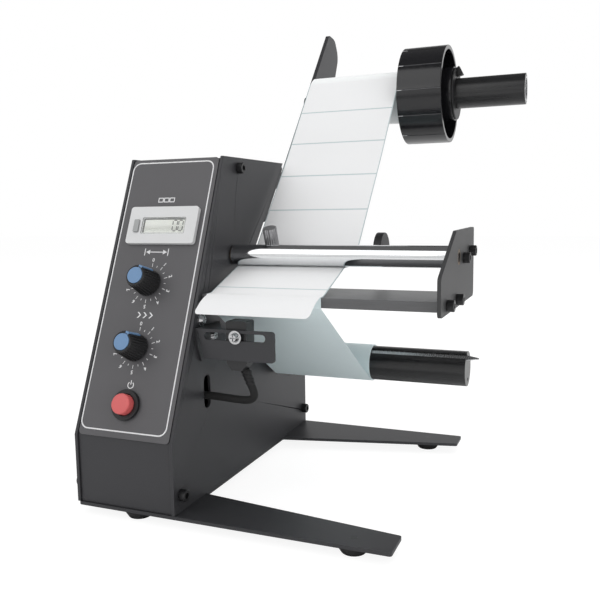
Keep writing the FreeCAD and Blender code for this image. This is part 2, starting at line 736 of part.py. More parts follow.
def control_panel():
    """Printed panel on the slanted face, with the cut-outs for what is mounted in it."""
    width = BODY_WIDTH - 2 * SIDE_PLATE - 2 * PANEL_SIDE_GAP
    height = PANEL_SLOPE - 2 * PANEL_SIDE_GAP
    panel = panel_block(rectangle(-BODY_WIDTH / 2, PANEL_SLOPE / 2, width, height, PANEL_CORNER),
                        -PANEL_THICK, 0)
    back = -PANEL_THICK - COVER_SHEET
    cuts = [panel_block(rectangle(COUNTER_U, COUNTER_V, COUNTER_WIDTH - PANEL_CUT_NARROWER,
                                 COUNTER_HEIGHT - PANEL_CUT_LOWER, 1.0),
                        back - 1, 0),
            panel_rod(BUTTON_BARREL_RADIUS + SLIDE_GAP, BUTTON_U, BUTTON_V, back - 1, 0)]
    for v in (LENGTH_KNOB_V, SPEED_KNOB_V):
        cuts.append(panel_rod(POT_BARREL_RADIUS + THREAD_GAP, KNOB_U, v, back - 1, 0))
    for cut in cuts:
        panel = panel.cut(cut)
        parts["front_cover"] = parts["front_cover"].cut(cut)
    parts["control_panel"] = panel


def counter():
    """Counter with its housing, window, display and reset button."""
    window_u = COUNTER_U + WINDOW_SHIFT
    window_v = COUNTER_V - WINDOW_DROP
    reset_v = COUNTER_V - RESET_DROP
    floor = COUNTER_PROUD - WINDOW_THICK - DISPLAY_THICK
    bezel = panel_block(rectangle(COUNTER_U, COUNTER_V, COUNTER_WIDTH, COUNTER_HEIGHT, COUNTER_CORNER), 0,
                        COUNTER_PROUD)
    body_width = COUNTER_WIDTH - PANEL_CUT_NARROWER - 2 * SLIDE_GAP
    body_height = COUNTER_HEIGHT - PANEL_CUT_LOWER - 2 * SLIDE_GAP
    body = panel_block(rectangle(COUNTER_U, COUNTER_V, body_width, body_height, 0.8), -COUNTER_DEEP, 0)
    hollow = panel_block(rectangle(COUNTER_U, COUNTER_V, body_width - 2 * COUNTER_WALL,
                                   body_height - 2 * COUNTER_WALL), -COUNTER_DEEP + COUNTER_WALL, -COUNTER_FACE)
    housing = bezel.fuse(body).cut(hollow)
    display_width = WINDOW_WIDTH - DISPLAY_NARROWER
    display_height = WINDOW_HEIGHT - DISPLAY_NARROWER
    housing = housing.cut(panel_block(rectangle(window_u, window_v, WINDOW_WIDTH + 2 * RUNNING_GAP,
                                                WINDOW_HEIGHT + 2 * RUNNING_GAP, 1.0),
                                      COUNTER_PROUD - WINDOW_THICK, COUNTER_PROUD))
    housing = housing.cut(panel_block(rectangle(window_u, window_v, display_width, display_height),
                                      floor, COUNTER_PROUD))
    pocket = COUNTER_PROUD + RESET_PROUD - RESET_LONG - RESET_TRAVEL - SLIDE_GAP
    housing = housing.cut(panel_block(rectangle(RESET_U, reset_v, RESET_WIDTH + 2 * SLIDE_GAP,
                                                RESET_HEIGHT + 2 * SLIDE_GAP, 0.8),
                                      pocket, COUNTER_PROUD))
    parts["counter_housing"] = housing
    parts["counter_window"] = panel_block(rectangle(window_u, window_v, WINDOW_WIDTH, WINDOW_HEIGHT, 1.0),
                                          COUNTER_PROUD - WINDOW_THICK, COUNTER_PROUD)
    parts["counter_display"] = panel_block(rectangle(window_u, window_v, display_width - 2 * RUNNING_GAP,
                                                     display_height - 2 * RUNNING_GAP),
                                           floor, COUNTER_PROUD - WINDOW_THICK)
    parts["counter_reset_button"] = panel_block(
        rectangle(RESET_U, reset_v, RESET_WIDTH, RESET_HEIGHT, 0.6),
        COUNTER_PROUD + RESET_PROUD - RESET_LONG, COUNTER_PROUD + RESET_PROUD)


def dial_knob(name, v, pointer):
    """Tapered knob with a light cap and pointer, on the shaft of its potentiometer."""
    back = -PANEL_THICK - COVER_SHEET
    foot = on_panel(KNOB_U, v, KNOB_GAP)
    rise = KNOB_HEIGHT - KNOB_GAP
    knob = Part.makeCone(KNOB_RADIUS, KNOB_TOP_RADIUS, rise, foot, PANEL_OUT)
    shaft_top = KNOB_HEIGHT - CAP_THICK - SHAFT_BELOW_CAP
    hollow = panel_rod(POT_NUT_RADIUS + KNOB_NUT_ROOM, KNOB_U, v, KNOB_GAP, POT_BARREL_PROUD + KNOB_NUT_OVER)
    bore = panel_rod(POT_SHAFT_RADIUS, KNOB_U, v, KNOB_GAP, shaft_top)
    disc_foot = KNOB_HEIGHT - CAP_THICK + CAP_PROUD
    disc = panel_rod(CAP_RADIUS, KNOB_U, v, disc_foot, KNOB_HEIGHT + CAP_PROUD)
    skin = Part.makeCone(KNOB_RADIUS + POINTER_PROUD, KNOB_TOP_RADIUS + POINTER_PROUD, rise, foot,
                         PANEL_OUT)
    core = Part.makeCone(KNOB_RADIUS - POINTER_DEEP, KNOB_TOP_RADIUS - POINTER_DEEP, rise - POINTER_DEEP,
                         foot, PANEL_OUT)
    stripe = prism(((-POINTER_WIDTH / 2, 0), (POINTER_WIDTH / 2, 0),
                    (POINTER_WIDTH / 2, KNOB_RADIUS + 2), (-POINTER_WIDTH / 2, KNOB_RADIUS + 2)),
                   KNOB_HEIGHT * POINTER_START, KNOB_HEIGHT)
    stripe.rotate(Vector(0, 0, 0), UP, -math.degrees(pointer))
    stripe.translate(Vector(KNOB_U, v, 0))
    stripe.transformShape(PANEL_FRAME.toMatrix())
    cap = disc.fuse(stripe.common(skin).cut(core))
    parts[name + "_knob"] = knob.cut(hollow).cut(bore).cut(cap)
    parts[name + "_knob_cap"] = cap
    parts[name + "_knob_shaft"] = panel_rod(POT_SHAFT_RADIUS, KNOB_U, v, back - POT_SHAFT_IN,
                                              shaft_top)


def potentiometers():
    """Body, threaded barrel and three tags of each potentiometer, and the nut in front."""
    back = -PANEL_THICK - COVER_SHEET
    bodies, nuts = [], []
    for v in (LENGTH_KNOB_V, SPEED_KNOB_V):
        body = panel_rod(POT_RADIUS, KNOB_U, v, back - POT_BODY, back)
        body = body.fuse(panel_rod(POT_BARREL_RADIUS, KNOB_U, v, back, POT_BARREL_PROUD))
        for shift in (-POT_TAG_PITCH, 0, POT_TAG_PITCH):
            tag = rectangle(KNOB_U + shift, v - POT_RADIUS, POT_TAG_WIDTH, POT_TAG_LENGTH)
            body = body.fuse(panel_block(tag, back - POT_BODY + 1, back - POT_BODY + 1 + POT_TAG_THICK))
        body = body.cut(panel_rod(POT_SHAFT_RADIUS + RUNNING_GAP, KNOB_U, v, back - POT_SHAFT_IN - SLIDE_GAP,
                                  POT_BARREL_PROUD))
        bodies.append(body)
        hexagon = [(KNOB_U + POT_NUT_RADIUS * math.cos(math.radians(60 * k)),
                    v + POT_NUT_RADIUS * math.sin(math.radians(60 * k))) for k in range(6)]
        nuts.append(panel_block(hexagon, 0, POT_NUT).cut(
            panel_rod(POT_BARREL_RADIUS + THREAD_GAP, KNOB_U, v, 0, POT_NUT)))
    parts["potentiometers"] = group(bodies)
    parts["potentiometer_nuts"] = group(nuts)


def power_button():
    """Push button with its bezel, return spring and switch block."""
    bezel = panel_rod(BUTTON_BEZEL_RADIUS, BUTTON_U, BUTTON_V, 0, BUTTON_BEZEL)
    bezel = bezel.fuse(panel_rod(BUTTON_BARREL_RADIUS, BUTTON_U, BUTTON_V, -BUTTON_BARREL, 0))
    bezel = bezel.cut(panel_rod(BUTTON_CAP_RADIUS + SLIDE_GAP, BUTTON_U, BUTTON_V, -BUTTON_BARREL,
                                BUTTON_BEZEL))
    cap = panel_rod(BUTTON_CAP_RADIUS, BUTTON_U, BUTTON_V, -BUTTON_SKIRT, BUTTON_PROUD)
    cap = cap.makeFillet(BUTTON_ROUNDING, [edge for edge in cap.Edges
                               if edge.Closed and (edge.CenterOfMass - on_panel(BUTTON_U, BUTTON_V,
                                                                                BUTTON_PROUD)).Length < 0.01])
    stem_end = -BUTTON_SKIRT - BUTTON_STEM
    cap = cap.fuse(panel_rod(BUTTON_STEM_RADIUS, BUTTON_U, BUTTON_V, stem_end, -BUTTON_SKIRT))
    switch_top = -BUTTON_BARREL
    block = panel_block(rectangle(BUTTON_U, BUTTON_V, SWITCH_SIZE, SWITCH_SIZE, 1.0),
                        switch_top - SWITCH_DEEP, switch_top)
    for shift in (-SWITCH_TAG_SHIFT, SWITCH_TAG_SHIFT):
        tag = rectangle(BUTTON_U + shift, BUTTON_V, SWITCH_TAG_WIDTH, SWITCH_TAG_HEIGHT)
        block = block.fuse(panel_block(tag, switch_top - SWITCH_DEEP - SWITCH_TAG_LENGTH,
                                       switch_top - SWITCH_DEEP))
    rise = BUTTON_BARREL - BUTTON_SKIRT - 2 * SPRING_WIRE
    coil_radius = BUTTON_STEM_RADIUS + SPRING_CLEAR
    helix = Part.makeHelix(rise / SPRING_TURNS, rise, coil_radius)
    circle = Part.Wire([Part.Circle(Vector(coil_radius, 0, 0), BACK, SPRING_WIRE).toShape()])
    spring = Part.Wire(helix).makePipeShell([circle], True, True)
    spring = Part.Solid(spring) if spring.ShapeType == "Shell" else spring
    spring.translate(Vector(BUTTON_U, BUTTON_V, -BUTTON_BARREL + SPRING_WIRE))
    spring.transformShape(PANEL_FRAME.toMatrix())
    parts["power_button_bezel"] = bezel
    parts["power_button_cap"] = cap
    parts["power_button_spring"] = spring
    parts["power_switch"] = block


def label_path():
    """Chrome roller, its bushes, the rods, the peel plate, the end plate and their screws."""
    bush_radius = JOURNAL_RADIUS + RUNNING_GAP + BUSH_WALL
    inner_end = -SIDE_PLATE - BUSH_INNER_END
    roller = rod(ROLLER_RADIUS, ROLLER_GAP, PATH_WIDTH - ROLLER_GAP, ROLLER_Y, ROLLER_Z)
    roller = roller.fuse(rod(JOURNAL_RADIUS, inner_end, FACE, ROLLER_Y, ROLLER_Z))
    parts["chrome_roller"] = roller
    bushes = []
    for x0, x1, flange in ((inner_end, BUSH_FLANGE, 0.0), (PATH_WIDTH - BUSH_FLANGE, FACE,
                                                            PATH_WIDTH - BUSH_FLANGE)):
        bush = rod(bush_radius, x0, x1, ROLLER_Y, ROLLER_Z)
        bush = bush.fuse(rod(bush_radius + BUSH_LIP, flange, flange + BUSH_FLANGE, ROLLER_Y, ROLLER_Z))
        bushes.append(bush.cut(rod(JOURNAL_RADIUS + RUNNING_GAP, x0, x1, ROLLER_Y, ROLLER_Z)))
    parts["roller_bushes"] = group(bushes)
    side_hole = rod(bush_radius, -SIDE_PLATE, 0, ROLLER_Y, ROLLER_Z)
    parts["right_side_plate"] = parts["right_side_plate"].cut(side_hole)

    end = side_prism(END_PLATE_OUTLINE, PATH_WIDTH, FACE)
    end = end.cut(rod(bush_radius, PATH_WIDTH, FACE, ROLLER_Y, ROLLER_Z))
    peel_z = PEEL_BOTTOM + PEEL_THICK / 2
    peel = side_prism(((PEEL_FRONT, PEEL_BOTTOM, PEEL_EDGE), (PEEL_BACK, PEEL_BOTTOM),
                       (PEEL_BACK, PEEL_TOP), (PEEL_FRONT, PEEL_TOP, PEEL_EDGE)), 0, PATH_WIDTH)
    collar_rod = rod(ROD_RADIUS, 0, PATH_WIDTH, COLLAR_ROD_Y, COLLAR_ROD_Z)
    guide_rod = rod(ROD_RADIUS, PATH_WIDTH - GUIDE_ROD_LENGTH, PATH_WIDTH, GUIDE_ROD_Y, GUIDE_ROD_Z)
    thread = SMALL_SCREW_RADIUS + THREAD_GAP
    reach = SCREW_LENGTH + END_PLATE
    outer_screws, inner_screws = [], []
    places = [(COLLAR_ROD_Y, COLLAR_ROD_Z), (GUIDE_ROD_Y, GUIDE_ROD_Z)]
    places += [(y, peel_z) for y in PEEL_SCREW_Y]
    for y, z in places:
        hole = rod(thread, FACE - reach, FACE, y, z)
        end = end.cut(hole)
        peel = peel.cut(hole)
        collar_rod = collar_rod.cut(hole)
        guide_rod = guide_rod.cut(hole)
        outer_screws.append(socket_screw(Vector(FACE, y, z), -RIGHT, SMALL_SCREW_RADIUS, reach,
                                         SMALL_HEAD_RADIUS, SCREW_HEAD))
        if y == GUIDE_ROD_Y:
            continue
        hole = rod(thread, -SIDE_PLATE, SCREW_LENGTH, y, z)
        parts["right_side_plate"] = parts["right_side_plate"].cut(hole)
        peel = peel.cut(hole)
        collar_rod = collar_rod.cut(hole)
        room = rod(SMALL_HEAD_RADIUS + SLIDE_GAP, -SIDE_PLATE - SCREW_HEAD, -SIDE_PLATE, y, z)
        parts["rear_cover"] = parts["rear_cover"].cut(room)
        parts["front_cover"] = parts["front_cover"].cut(room)
        inner_screws.append(socket_screw(Vector(-SIDE_PLATE, y, z), RIGHT, SMALL_SCREW_RADIUS,
                                         SCREW_LENGTH + SIDE_PLATE, SMALL_HEAD_RADIUS, SCREW_HEAD))
    parts["end_plate"] = end
    parts["peel_plate"] = peel
    parts["collar_rod"] = collar_rod
    parts["guide_rod"] = guide_rod
    parts["end_plate_screws"] = group(outer_screws)
    parts["bar_screws"] = group(inner_screws)
    ring = pipe(RING_RADIUS, ROD_RADIUS + RUNNING_GAP, RING_X, RING_X + RING_WIDTH,
                GUIDE_ROD_Y, GUIDE_ROD_Z)
    parts["guide_ring"] = ring


def lock_collar():
    """Collar on its rod with a knurled thumb screw that leans forward."""
    axis = Vector(0, -math.sin(THUMB_LEAN), math.cos(THUMB_LEAN))
    centre = Vector(COLLAR_X + COLLAR_WIDTH / 2, COLLAR_ROD_Y, COLLAR_ROD_Z)
    collar = pipe(COLLAR_RADIUS, ROD_RADIUS + RUNNING_GAP, COLLAR_X, COLLAR_X + COLLAR_WIDTH,
                  COLLAR_ROD_Y, COLLAR_ROD_Z)
    shank_foot = ROD_RADIUS + RUNNING_GAP + 0.1
    shank_hole = Part.makeCylinder(SMALL_SCREW_RADIUS + RUNNING_GAP, COLLAR_RADIUS + 2, centre, axis)
    parts["lock_collar"] = collar.cut(shank_hole)
    head_foot = COLLAR_RADIUS + THUMB_NECK
    shank = Part.makeCylinder(SMALL_SCREW_RADIUS, head_foot - shank_foot, centre + axis * shank_foot, axis)
    ridges = []
    for step in range(2 * THUMB_RIDGES):
        radius = THUMB_RADIUS if step % 2 == 0 else THUMB_RADIUS - THUMB_RIDGE
        angle = math.pi * step / THUMB_RIDGES
        ridges.append((radius * math.cos(angle), radius * math.sin(angle)))
    head = prism(ridges, 0, THUMB_HEIGHT, frame_along(centre + axis * head_foot, axis))
    parts["thumb_screw"] = head.fuse(shank)


def web_corners():
    """Bend points (y, z, radius) of the web's upper face from the roll to the peel edge."""
    roller_reach = ROLLER_RADIUS + SOFT_GAP
    under = ROLLER_Z - roller_reach
    roller_corner = ROLLER_Y - roller_reach * math.tan(PEEL_ANGLE / 2)
    peel_height = PEEL_TOP + WEB_THICK
    peel_corner = roller_corner - (under - peel_height) / math.tan(PEEL_ANGLE)
    collar_corner = COLLAR_ROD_Y + WEB_PAST_COLLAR
    knee = (collar_corner + KNEE_BACK, under + KNEE_RISE)
    start = tangent_point(knee, (ROLL_Y, ROLL_Z), ROLL_RADIUS + SOFT_GAP + WEB_THICK, -1)
    sag = ((start[0] + knee[0]) / 2 + WEB_SAG, (start[1] + knee[1]) / 2 - WEB_SAG)
    return [(start[0], start[1], 0), (sag[0], sag[1], SAG_BEND), (knee[0], knee[1], KNEE_BEND),
            (collar_corner, under, COLLAR_BEND), (roller_corner, under, roller_reach),
            (peel_corner, peel_height, PEEL_BEND), (PEEL_FRONT - SOFT_GAP, peel_height, 0)]


def web_spaces(corners, first):
    """Point and direction of each space between labels along these bend points of the web."""
    places = []
    left = first
    for here, there in zip(corners, corners[1:]):
        step = Vector(0, there[0] - here[0], there[1] - here[1])
        length = step.Length
        step.normalize()
        while left < length:
            places.append((Vector(0, here[0], here[1]) + step * left, step))
            left += LABEL_LENGTH + LABEL_SPACE
        left -= length
    return places


def web_and_liner():
    """Labels on their liner down to the peel edge, a label coming off, and the liner to the drum."""
    path = web_corners()
    x0, x1 = WEB_SIDE, WEB_SIDE + WEB_WIDTH
    labels = ribbon(path, LABEL_THICK, x0 + LABEL_MARGIN, x1 - LABEL_MARGIN)
    first = FIRST_LABEL - LABEL_SPACE / 2
    spaces = web_spaces(path[3::-1], first)
    spaces += web_spaces(path[3:], LABEL_LENGTH + LABEL_SPACE - first)
    for point, along in spaces:
        space = Part.makeBox(WEB_WIDTH, LABEL_SPACE, LABEL_CUT)
        above = RIGHT.cross(along)
        space.Placement = Placement(point + RIGHT * x0 - along * (LABEL_SPACE / 2) - above * (LABEL_CUT / 2),
                                    Rotation(RIGHT, along, above, "XYZ"))
        labels = labels.cut(space)
    parts["labels"] = group(labels.Solids)
    parts["label_web"] = ribbon(path, WEB_THICK, x0, x1).cut(labels)

    edge = PEEL_FRONT - SOFT_GAP
    tip = [(edge, PEEL_TOP + WEB_THICK, 0), (LABEL_TIP[0][0], LABEL_TIP[0][1], LABEL_TIP_BEND),
           (LABEL_TIP[1][0], LABEL_TIP[1][1], 0)]
    flap = ribbon(tip, LABEL_THICK, x0 + LABEL_MARGIN, x1 - LABEL_MARGIN)
    shape = prism(((x0 + LABEL_MARGIN, LABEL_TIP[1][0], LABEL_CORNER),
                   (x1 - LABEL_MARGIN, LABEL_TIP[1][0], LABEL_CORNER),
                   (x1 - LABEL_MARGIN, edge), (x0 + LABEL_MARGIN, edge)), LABEL_TIP[1][1] - 20, PEEL_TOP + 20)
    parts["dispensed_label"] = flap.common(shape)

    reach = DRUM_RADIUS + WOUND_THICK + SOFT_GAP
    start = (edge, PEEL_BOTTOM - SOFT_GAP)
    end = tangent_point(start, (DRUM_Y, DRUM_Z), reach + LINER_THICK, 1)
    parts["liner"] = ribbon([(edge, PEEL_TOP, 0), (start[0], start[1], PEEL_FOLD), (end[0], end[1], 0)],
                            LINER_THICK, x0, x1)


def take_up():
    """Drum with its groove, clip, wound liner, shaft, gear and bushes."""
    drum = rod(DRUM_RADIUS, DRUM_GAP, DRUM_END, DRUM_Y, DRUM_Z)
    out = Vector(0, -math.cos(GROOVE_ANGLE), math.sin(GROOVE_ANGLE))
    side = RIGHT.cross(out)
    centre = Vector(0, DRUM_Y, DRUM_Z)
    frame = Placement(centre, Rotation(side * -1, out, RIGHT, "XYZ"))
    floor = DRUM_RADIUS - GROOVE_DEPTH
    groove = prism(rectangle(0, DRUM_RADIUS, GROOVE_WIDTH, 2 * GROOVE_DEPTH), 0, DRUM_END + 1, frame)
    drum = drum.cut(groove)
    bore_end = DRUM_GAP + DRUM_BORE_DEPTH
    drum = drum.cut(rod(SHAFT_RADIUS, DRUM_GAP, bore_end, DRUM_Y, DRUM_Z))
    drum = drum.cut(rod(DRUM_HOLE_RADIUS, DRUM_END - DRUM_HOLE_DEPTH, DRUM_END, DRUM_Y,
                        DRUM_Z - DRUM_HOLE_DROP))
    parts["takeup_drum"] = drum
    half = GROOVE_WIDTH / 2 - SLIDE_GAP
    clip_floor = floor + BORE_CLEAR
    clip = prism(rectangle(0, clip_floor + CLIP_THICK / 2, 2 * half, CLIP_THICK), DRUM_GAP + 1, DRUM_END, frame)
    tip_frame = Placement(centre + out * clip_floor, Rotation(side * -1, RIGHT, out * -1, "XYZ"))
    tip = prism(((-half, DRUM_END), (half, DRUM_END), (half * 0.15, DRUM_END + CLIP_TIP),
                 (-half * 0.15, DRUM_END + CLIP_TIP)), -CLIP_THICK, 0, tip_frame)
    parts["liner_clip"] = clip.fuse(tip)
    wound = pipe(DRUM_RADIUS + WOUND_THICK, DRUM_RADIUS, WEB_SIDE, WEB_SIDE + WEB_WIDTH, DRUM_Y, DRUM_Z)
    parts["wound_liner"] = wound

    bush_radius = SHAFT_RADIUS + RUNNING_GAP + DRUM_BUSH_WALL
    far_face = BRACKET_FACE - BRACKET_SHEET
    shaft_end = far_face - BOSS_HEIGHT - SHAFT_BEYOND_BOSS
    shaft = rod(SHAFT_RADIUS, shaft_end, bore_end, DRUM_Y, DRUM_Z)
    ring_x = far_face - BOSS_HEIGHT - RING_FROM_BOSS - RING_THICK
    groove_cut = pipe(SHAFT_RADIUS + 1, SHAFT_RADIUS - RING_GROOVE, ring_x, ring_x + RING_THICK, DRUM_Y, DRUM_Z)
    parts["drum_shaft"] = shaft.cut(groove_cut)
    gap = box(ring_x, ring_x + RING_THICK, DRUM_Y - RING_OPENING / 2, DRUM_Y + RING_OPENING / 2,
              DRUM_Z - SHAFT_RADIUS - RING_WIDE - 1, DRUM_Z)
    parts["shaft_retaining_ring"] = pipe(SHAFT_RADIUS + RING_WIDE, SHAFT_RADIUS - RING_GROOVE, ring_x,
                                         ring_x + RING_THICK, DRUM_Y, DRUM_Z).cut(gap)
    gear_right = -SIDE_PLATE - GEAR_INSET
    gear_left = gear_right - GEAR_FACE
    wheel = gear(DRUM_TEETH, gear_left, gear_right, DRUM_Y, DRUM_Z, SHAFT_RADIUS, MOTOR_BEARING)
    wheel = wheel.fuse(pipe(GEAR_HUB_RADIUS, SHAFT_RADIUS, gear_left - GEAR_HUB, gear_left, DRUM_Y, DRUM_Z))
    parts["drum_gear"] = wheel
    pinion_phase = MOTOR_BEARING + math.pi + math.pi / PINION_TEETH
    parts["motor_pinion"] = gear(PINION_TEETH, gear_left - PINION_PROUD, gear_right + PINION_PROUD,
                                 MOTOR_Y, MOTOR_Z, MOTOR_SHAFT_RADIUS, pinion_phase)
    parts["motor_shaft"] = rod(MOTOR_SHAFT_RADIUS, far_face - MOTOR_SHAFT_IN, gear_right + PINION_PROUD,
                               MOTOR_Y, MOTOR_Z)
    bushes = []
    for x0, x1 in ((-SIDE_PLATE - BOSS_HEIGHT, BUSH_PROUD),
                   (far_face - BOSS_HEIGHT, BRACKET_FACE + BUSH_PROUD)):
        bushes.append(pipe(bush_radius, SHAFT_RADIUS + RUNNING_GAP, x0, x1, DRUM_Y, DRUM_Z))
    parts["drum_bushes"] = group(bushes)
    boss = rod(bush_radius + BOSS_WALL, -SIDE_PLATE - BOSS_HEIGHT, -SIDE_PLATE, DRUM_Y, DRUM_Z)
    hole = rod(bush_radius, -SIDE_PLATE - BOSS_HEIGHT, 0, DRUM_Y, DRUM_Z)
    parts["right_side_plate"] = parts["right_side_plate"].fuse(boss).cut(hole)


def drive():
    """Bracket on four standoffs, and the geared motor that it carries."""
    far_face = BRACKET_FACE - BRACKET_SHEET
    y0 = MOTOR_Y - GEARBOX_RADIUS - BRACKET_MARGIN / 2
    y1 = DRUM_Y + MODULE * (DRUM_TEETH / 2 + 1) + BRACKET_BEYOND_GEAR
    z0 = DRUM_Z - BRACKET_MARGIN * 2
    z1 = MOTOR_Z + GEARBOX_RADIUS
    corner_z1 = z1 - BRACKET_SHOULDER
    bush_radius = SHAFT_RADIUS + RUNNING_GAP + DRUM_BUSH_WALL
    plate = side_prism(((y0, z0, BRACKET_CORNER), (y1, z0, BRACKET_CORNER), (y1, corner_z1, BRACKET_CORNER),
                        (DRUM_Y, z1, BRACKET_CORNER), (y0, z1, BRACKET_CORNER)), far_face, BRACKET_FACE)
    plate = plate.fuse(rod(bush_radius + BOSS_WALL, far_face - BOSS_HEIGHT, far_face, DRUM_Y, DRUM_Z))
    plate = plate.cut(rod(bush_radius, far_face - BOSS_HEIGHT, BRACKET_FACE, DRUM_Y, DRUM_Z))
    plate = plate.cut(rod(MOTOR_SHAFT_RADIUS + 2, far_face, BRACKET_FACE, MOTOR_Y, MOTOR_Z))
    inset_by = STANDOFF_RADIUS + 1.0
    corners = ((y0 + inset_by, z0 + inset_by), (y1 - inset_by, z0 + inset_by),
               (y1 - inset_by, corner_z1 - inset_by), (y0 + inset_by, z1 - inset_by))
    posts, screws = [], []
    thread = SMALL_SCREW_RADIUS + THREAD_GAP
    for y, z in corners:
        post = rod(STANDOFF_RADIUS, BRACKET_FACE, -SIDE_PLATE, y, z)
        for start, axis in ((far_face, RIGHT), (0, -RIGHT)):
            low = start if axis.x > 0 else start - BRACKET_SCREW
            hole = rod(thread, low, low + BRACKET_SCREW, y, z)
            post = post.cut(hole)
            plate = plate.cut(hole)
            parts["right_side_plate"] = parts["right_side_plate"].cut(hole)
            if axis.x > 0:
                screws.append(cross_screw(Vector(start, y, z), axis, SMALL_SCREW_RADIUS,
                                          BRACKET_SCREW, SMALL_HEAD_RADIUS * BOARD_HEAD_SHARE, SMALL_HEAD))
            else:
                screws.append(rod(SMALL_SCREW_RADIUS, low, start, y, z))
        posts.append(post)
    parts["drive_bracket"] = plate
    parts["bracket_standoffs"] = group(posts)
    parts["drive_screws"] = group(screws)
    box_start = far_face - GEARBOX_LENGTH
    motor = rod(GEARBOX_RADIUS, box_start, far_face, MOTOR_Y, MOTOR_Z)
    motor = motor.fuse(rod(MOTOR_RADIUS, box_start - MOTOR_LENGTH, box_start, MOTOR_Y, MOTOR_Z))
    room = rod(MOTOR_SHAFT_RADIUS + RUNNING_GAP, far_face - MOTOR_SHAFT_IN - SLIDE_GAP, far_face,
               MOTOR_Y, MOTOR_Z)
    near_boss = rod(bush_radius + BOSS_WALL + SLIDE_GAP, far_face - BOSS_HEIGHT - 4, far_face, DRUM_Y, DRUM_Z)
    parts["gear_motor"] = motor.cut(room).cut(near_boss)


def supply_arm():
    """Arm, its screws, the tube with its plug and bolt, the roll, the hub and its bush."""
    def along_wall(distance, out=0.0):
        """Point of the rear slanted edge, measured down from the top."""
        return (TOP_REAR[0] - distance * math.cos(WEB_ANGLE) + out * math.sin(WEB_ANGLE),
                TOP_REAR[1] - distance * math.sin(WEB_ANGLE) - out * math.cos(WEB_ANGLE))

    start = along_wall(ARM_FRONT_START)
    neck = along_wall(ARM_NECK_HIGH, ARM_FRONT_BACK)
    nose = along_wall(ARM_FRONT_START - ARM_FRONT_LENGTH, ARM_FRONT_BACK)
    blade = side_prism((start, along_wall(ARM_NECK_LOW), (neck[0], neck[1], ARM_NECK_BEND),
                        (nose[0], nose[1], ARM_NOSE_BEND),
                        (nose[0] + ARM_CREST_BACK, nose[1] - ARM_CREST_DROP, ARM_CREST_BEND),
                        (nose[0] + ARM_SHOULDER_BACK, nose[1] - ARM_SHOULDER_DROP, ARM_SHOULDER_BEND),
                        (ARM_WAIST_Y, ARM_WAIST_Z, ARM_WAIST_BEND), (ARM_FOOT_Y, start[1])),
                       -ARM_SHEET, 0)
    low = along_wall(ARM_FLANGE_TOP + ARM_FLANGE_LENGTH, -PROUD)
    frame = Placement(Vector(0, low[0], low[1]), Rotation(RIGHT, WALL_UP, RIGHT.cross(WALL_UP), "XYZ"))
    corners = rectangle(-(ARM_SHEET + ARM_FLANGE_WIDTH) / 2, ARM_FLANGE_LENGTH / 2,
                        ARM_FLANGE_WIDTH + ARM_SHEET, ARM_FLANGE_LENGTH, ARM_FLANGE_CORNER)
    flange = prism(corners, -ARM_SHEET, 0, frame)
    arm = blade.fuse(flange)
    profile = ((0, BASE_PLATE), PANEL_FOOT, PANEL_TOP, TOP_REAR, NOTCH, REAR_TOP, (BODY_DEPTH, BASE_PLATE))
    arm = arm.cut(side_prism(profile, -SIDE_PLATE, 0))
    screws = []
    thread = SCREW_RADIUS + THREAD_GAP
    for u in (-ARM_SHEET - ARM_SCREW_MARGIN, -ARM_FLANGE_WIDTH + ARM_SCREW_MARGIN - ARM_SCREW_SHIFT):
        for v in (ARM_SCREW_MARGIN, ARM_FLANGE_LENGTH - ARM_SCREW_MARGIN):
            spot = Vector(u, low[0], low[1]) + WALL_UP * v + WALL_OUT * ARM_SHEET
            hole = Part.makeCylinder(thread, ARM_SHEET + COVER_SHEET + 2, spot + WALL_OUT, WALL_OUT * -1)
            arm = arm.cut(hole)
            parts["rear_cover"] = parts["rear_cover"].cut(hole)
            screws.append(socket_screw(spot, WALL_OUT * -1, SCREW_RADIUS,
                                       ARM_SHEET + COVER_SHEET + ARM_SCREW_GRIP, SCREW_HEAD_RADIUS,
                                       ARM_SCREW_HEAD))
    arm = arm.cut(rod(ARM_BOLT_RADIUS + THREAD_GAP, -ARM_SHEET, 0, ROLL_Y, ROLL_Z))
    parts["support_arm"] = arm
    parts["arm_screws"] = group(screws)

    inner = TUBE_RADIUS - TUBE_WALL
    parts["supply_tube"] = pipe(TUBE_RADIUS, inner, 0, TUBE_LENGTH, ROLL_Y, ROLL_Z)
    parts["tube_plug"] = pipe(inner, ARM_BOLT_RADIUS + THREAD_GAP, 0, TUBE_PLUG, ROLL_Y, ROLL_Z)
    cap = rod(inner, TUBE_LENGTH - TUBE_CAP, TUBE_LENGTH, ROLL_Y, ROLL_Z)
    parts["tube_end_cap"] = cap.cut(rod(inner - TUBE_CAP_RIM, TUBE_LENGTH - TUBE_CAP_DISH, TUBE_LENGTH,
                                        ROLL_Y, ROLL_Z))
    parts["arm_bolt"] = socket_screw(Vector(-ARM_SHEET, ROLL_Y, ROLL_Z), RIGHT, ARM_BOLT_RADIUS,
                                     ARM_SHEET + TUBE_PLUG, ARM_BOLT_HEAD_RADIUS, ARM_BOLT_HEAD)
    bore = TUBE_RADIUS + 2 * RUNNING_GAP
    end = WEB_SIDE + WEB_WIDTH
    parts["label_core"] = pipe(CORE_RADIUS, bore, WEB_SIDE, end, ROLL_Y, ROLL_Z)
    parts["label_roll"] = pipe(ROLL_RADIUS, CORE_RADIUS, WEB_SIDE, end, ROLL_Y, ROLL_Z)


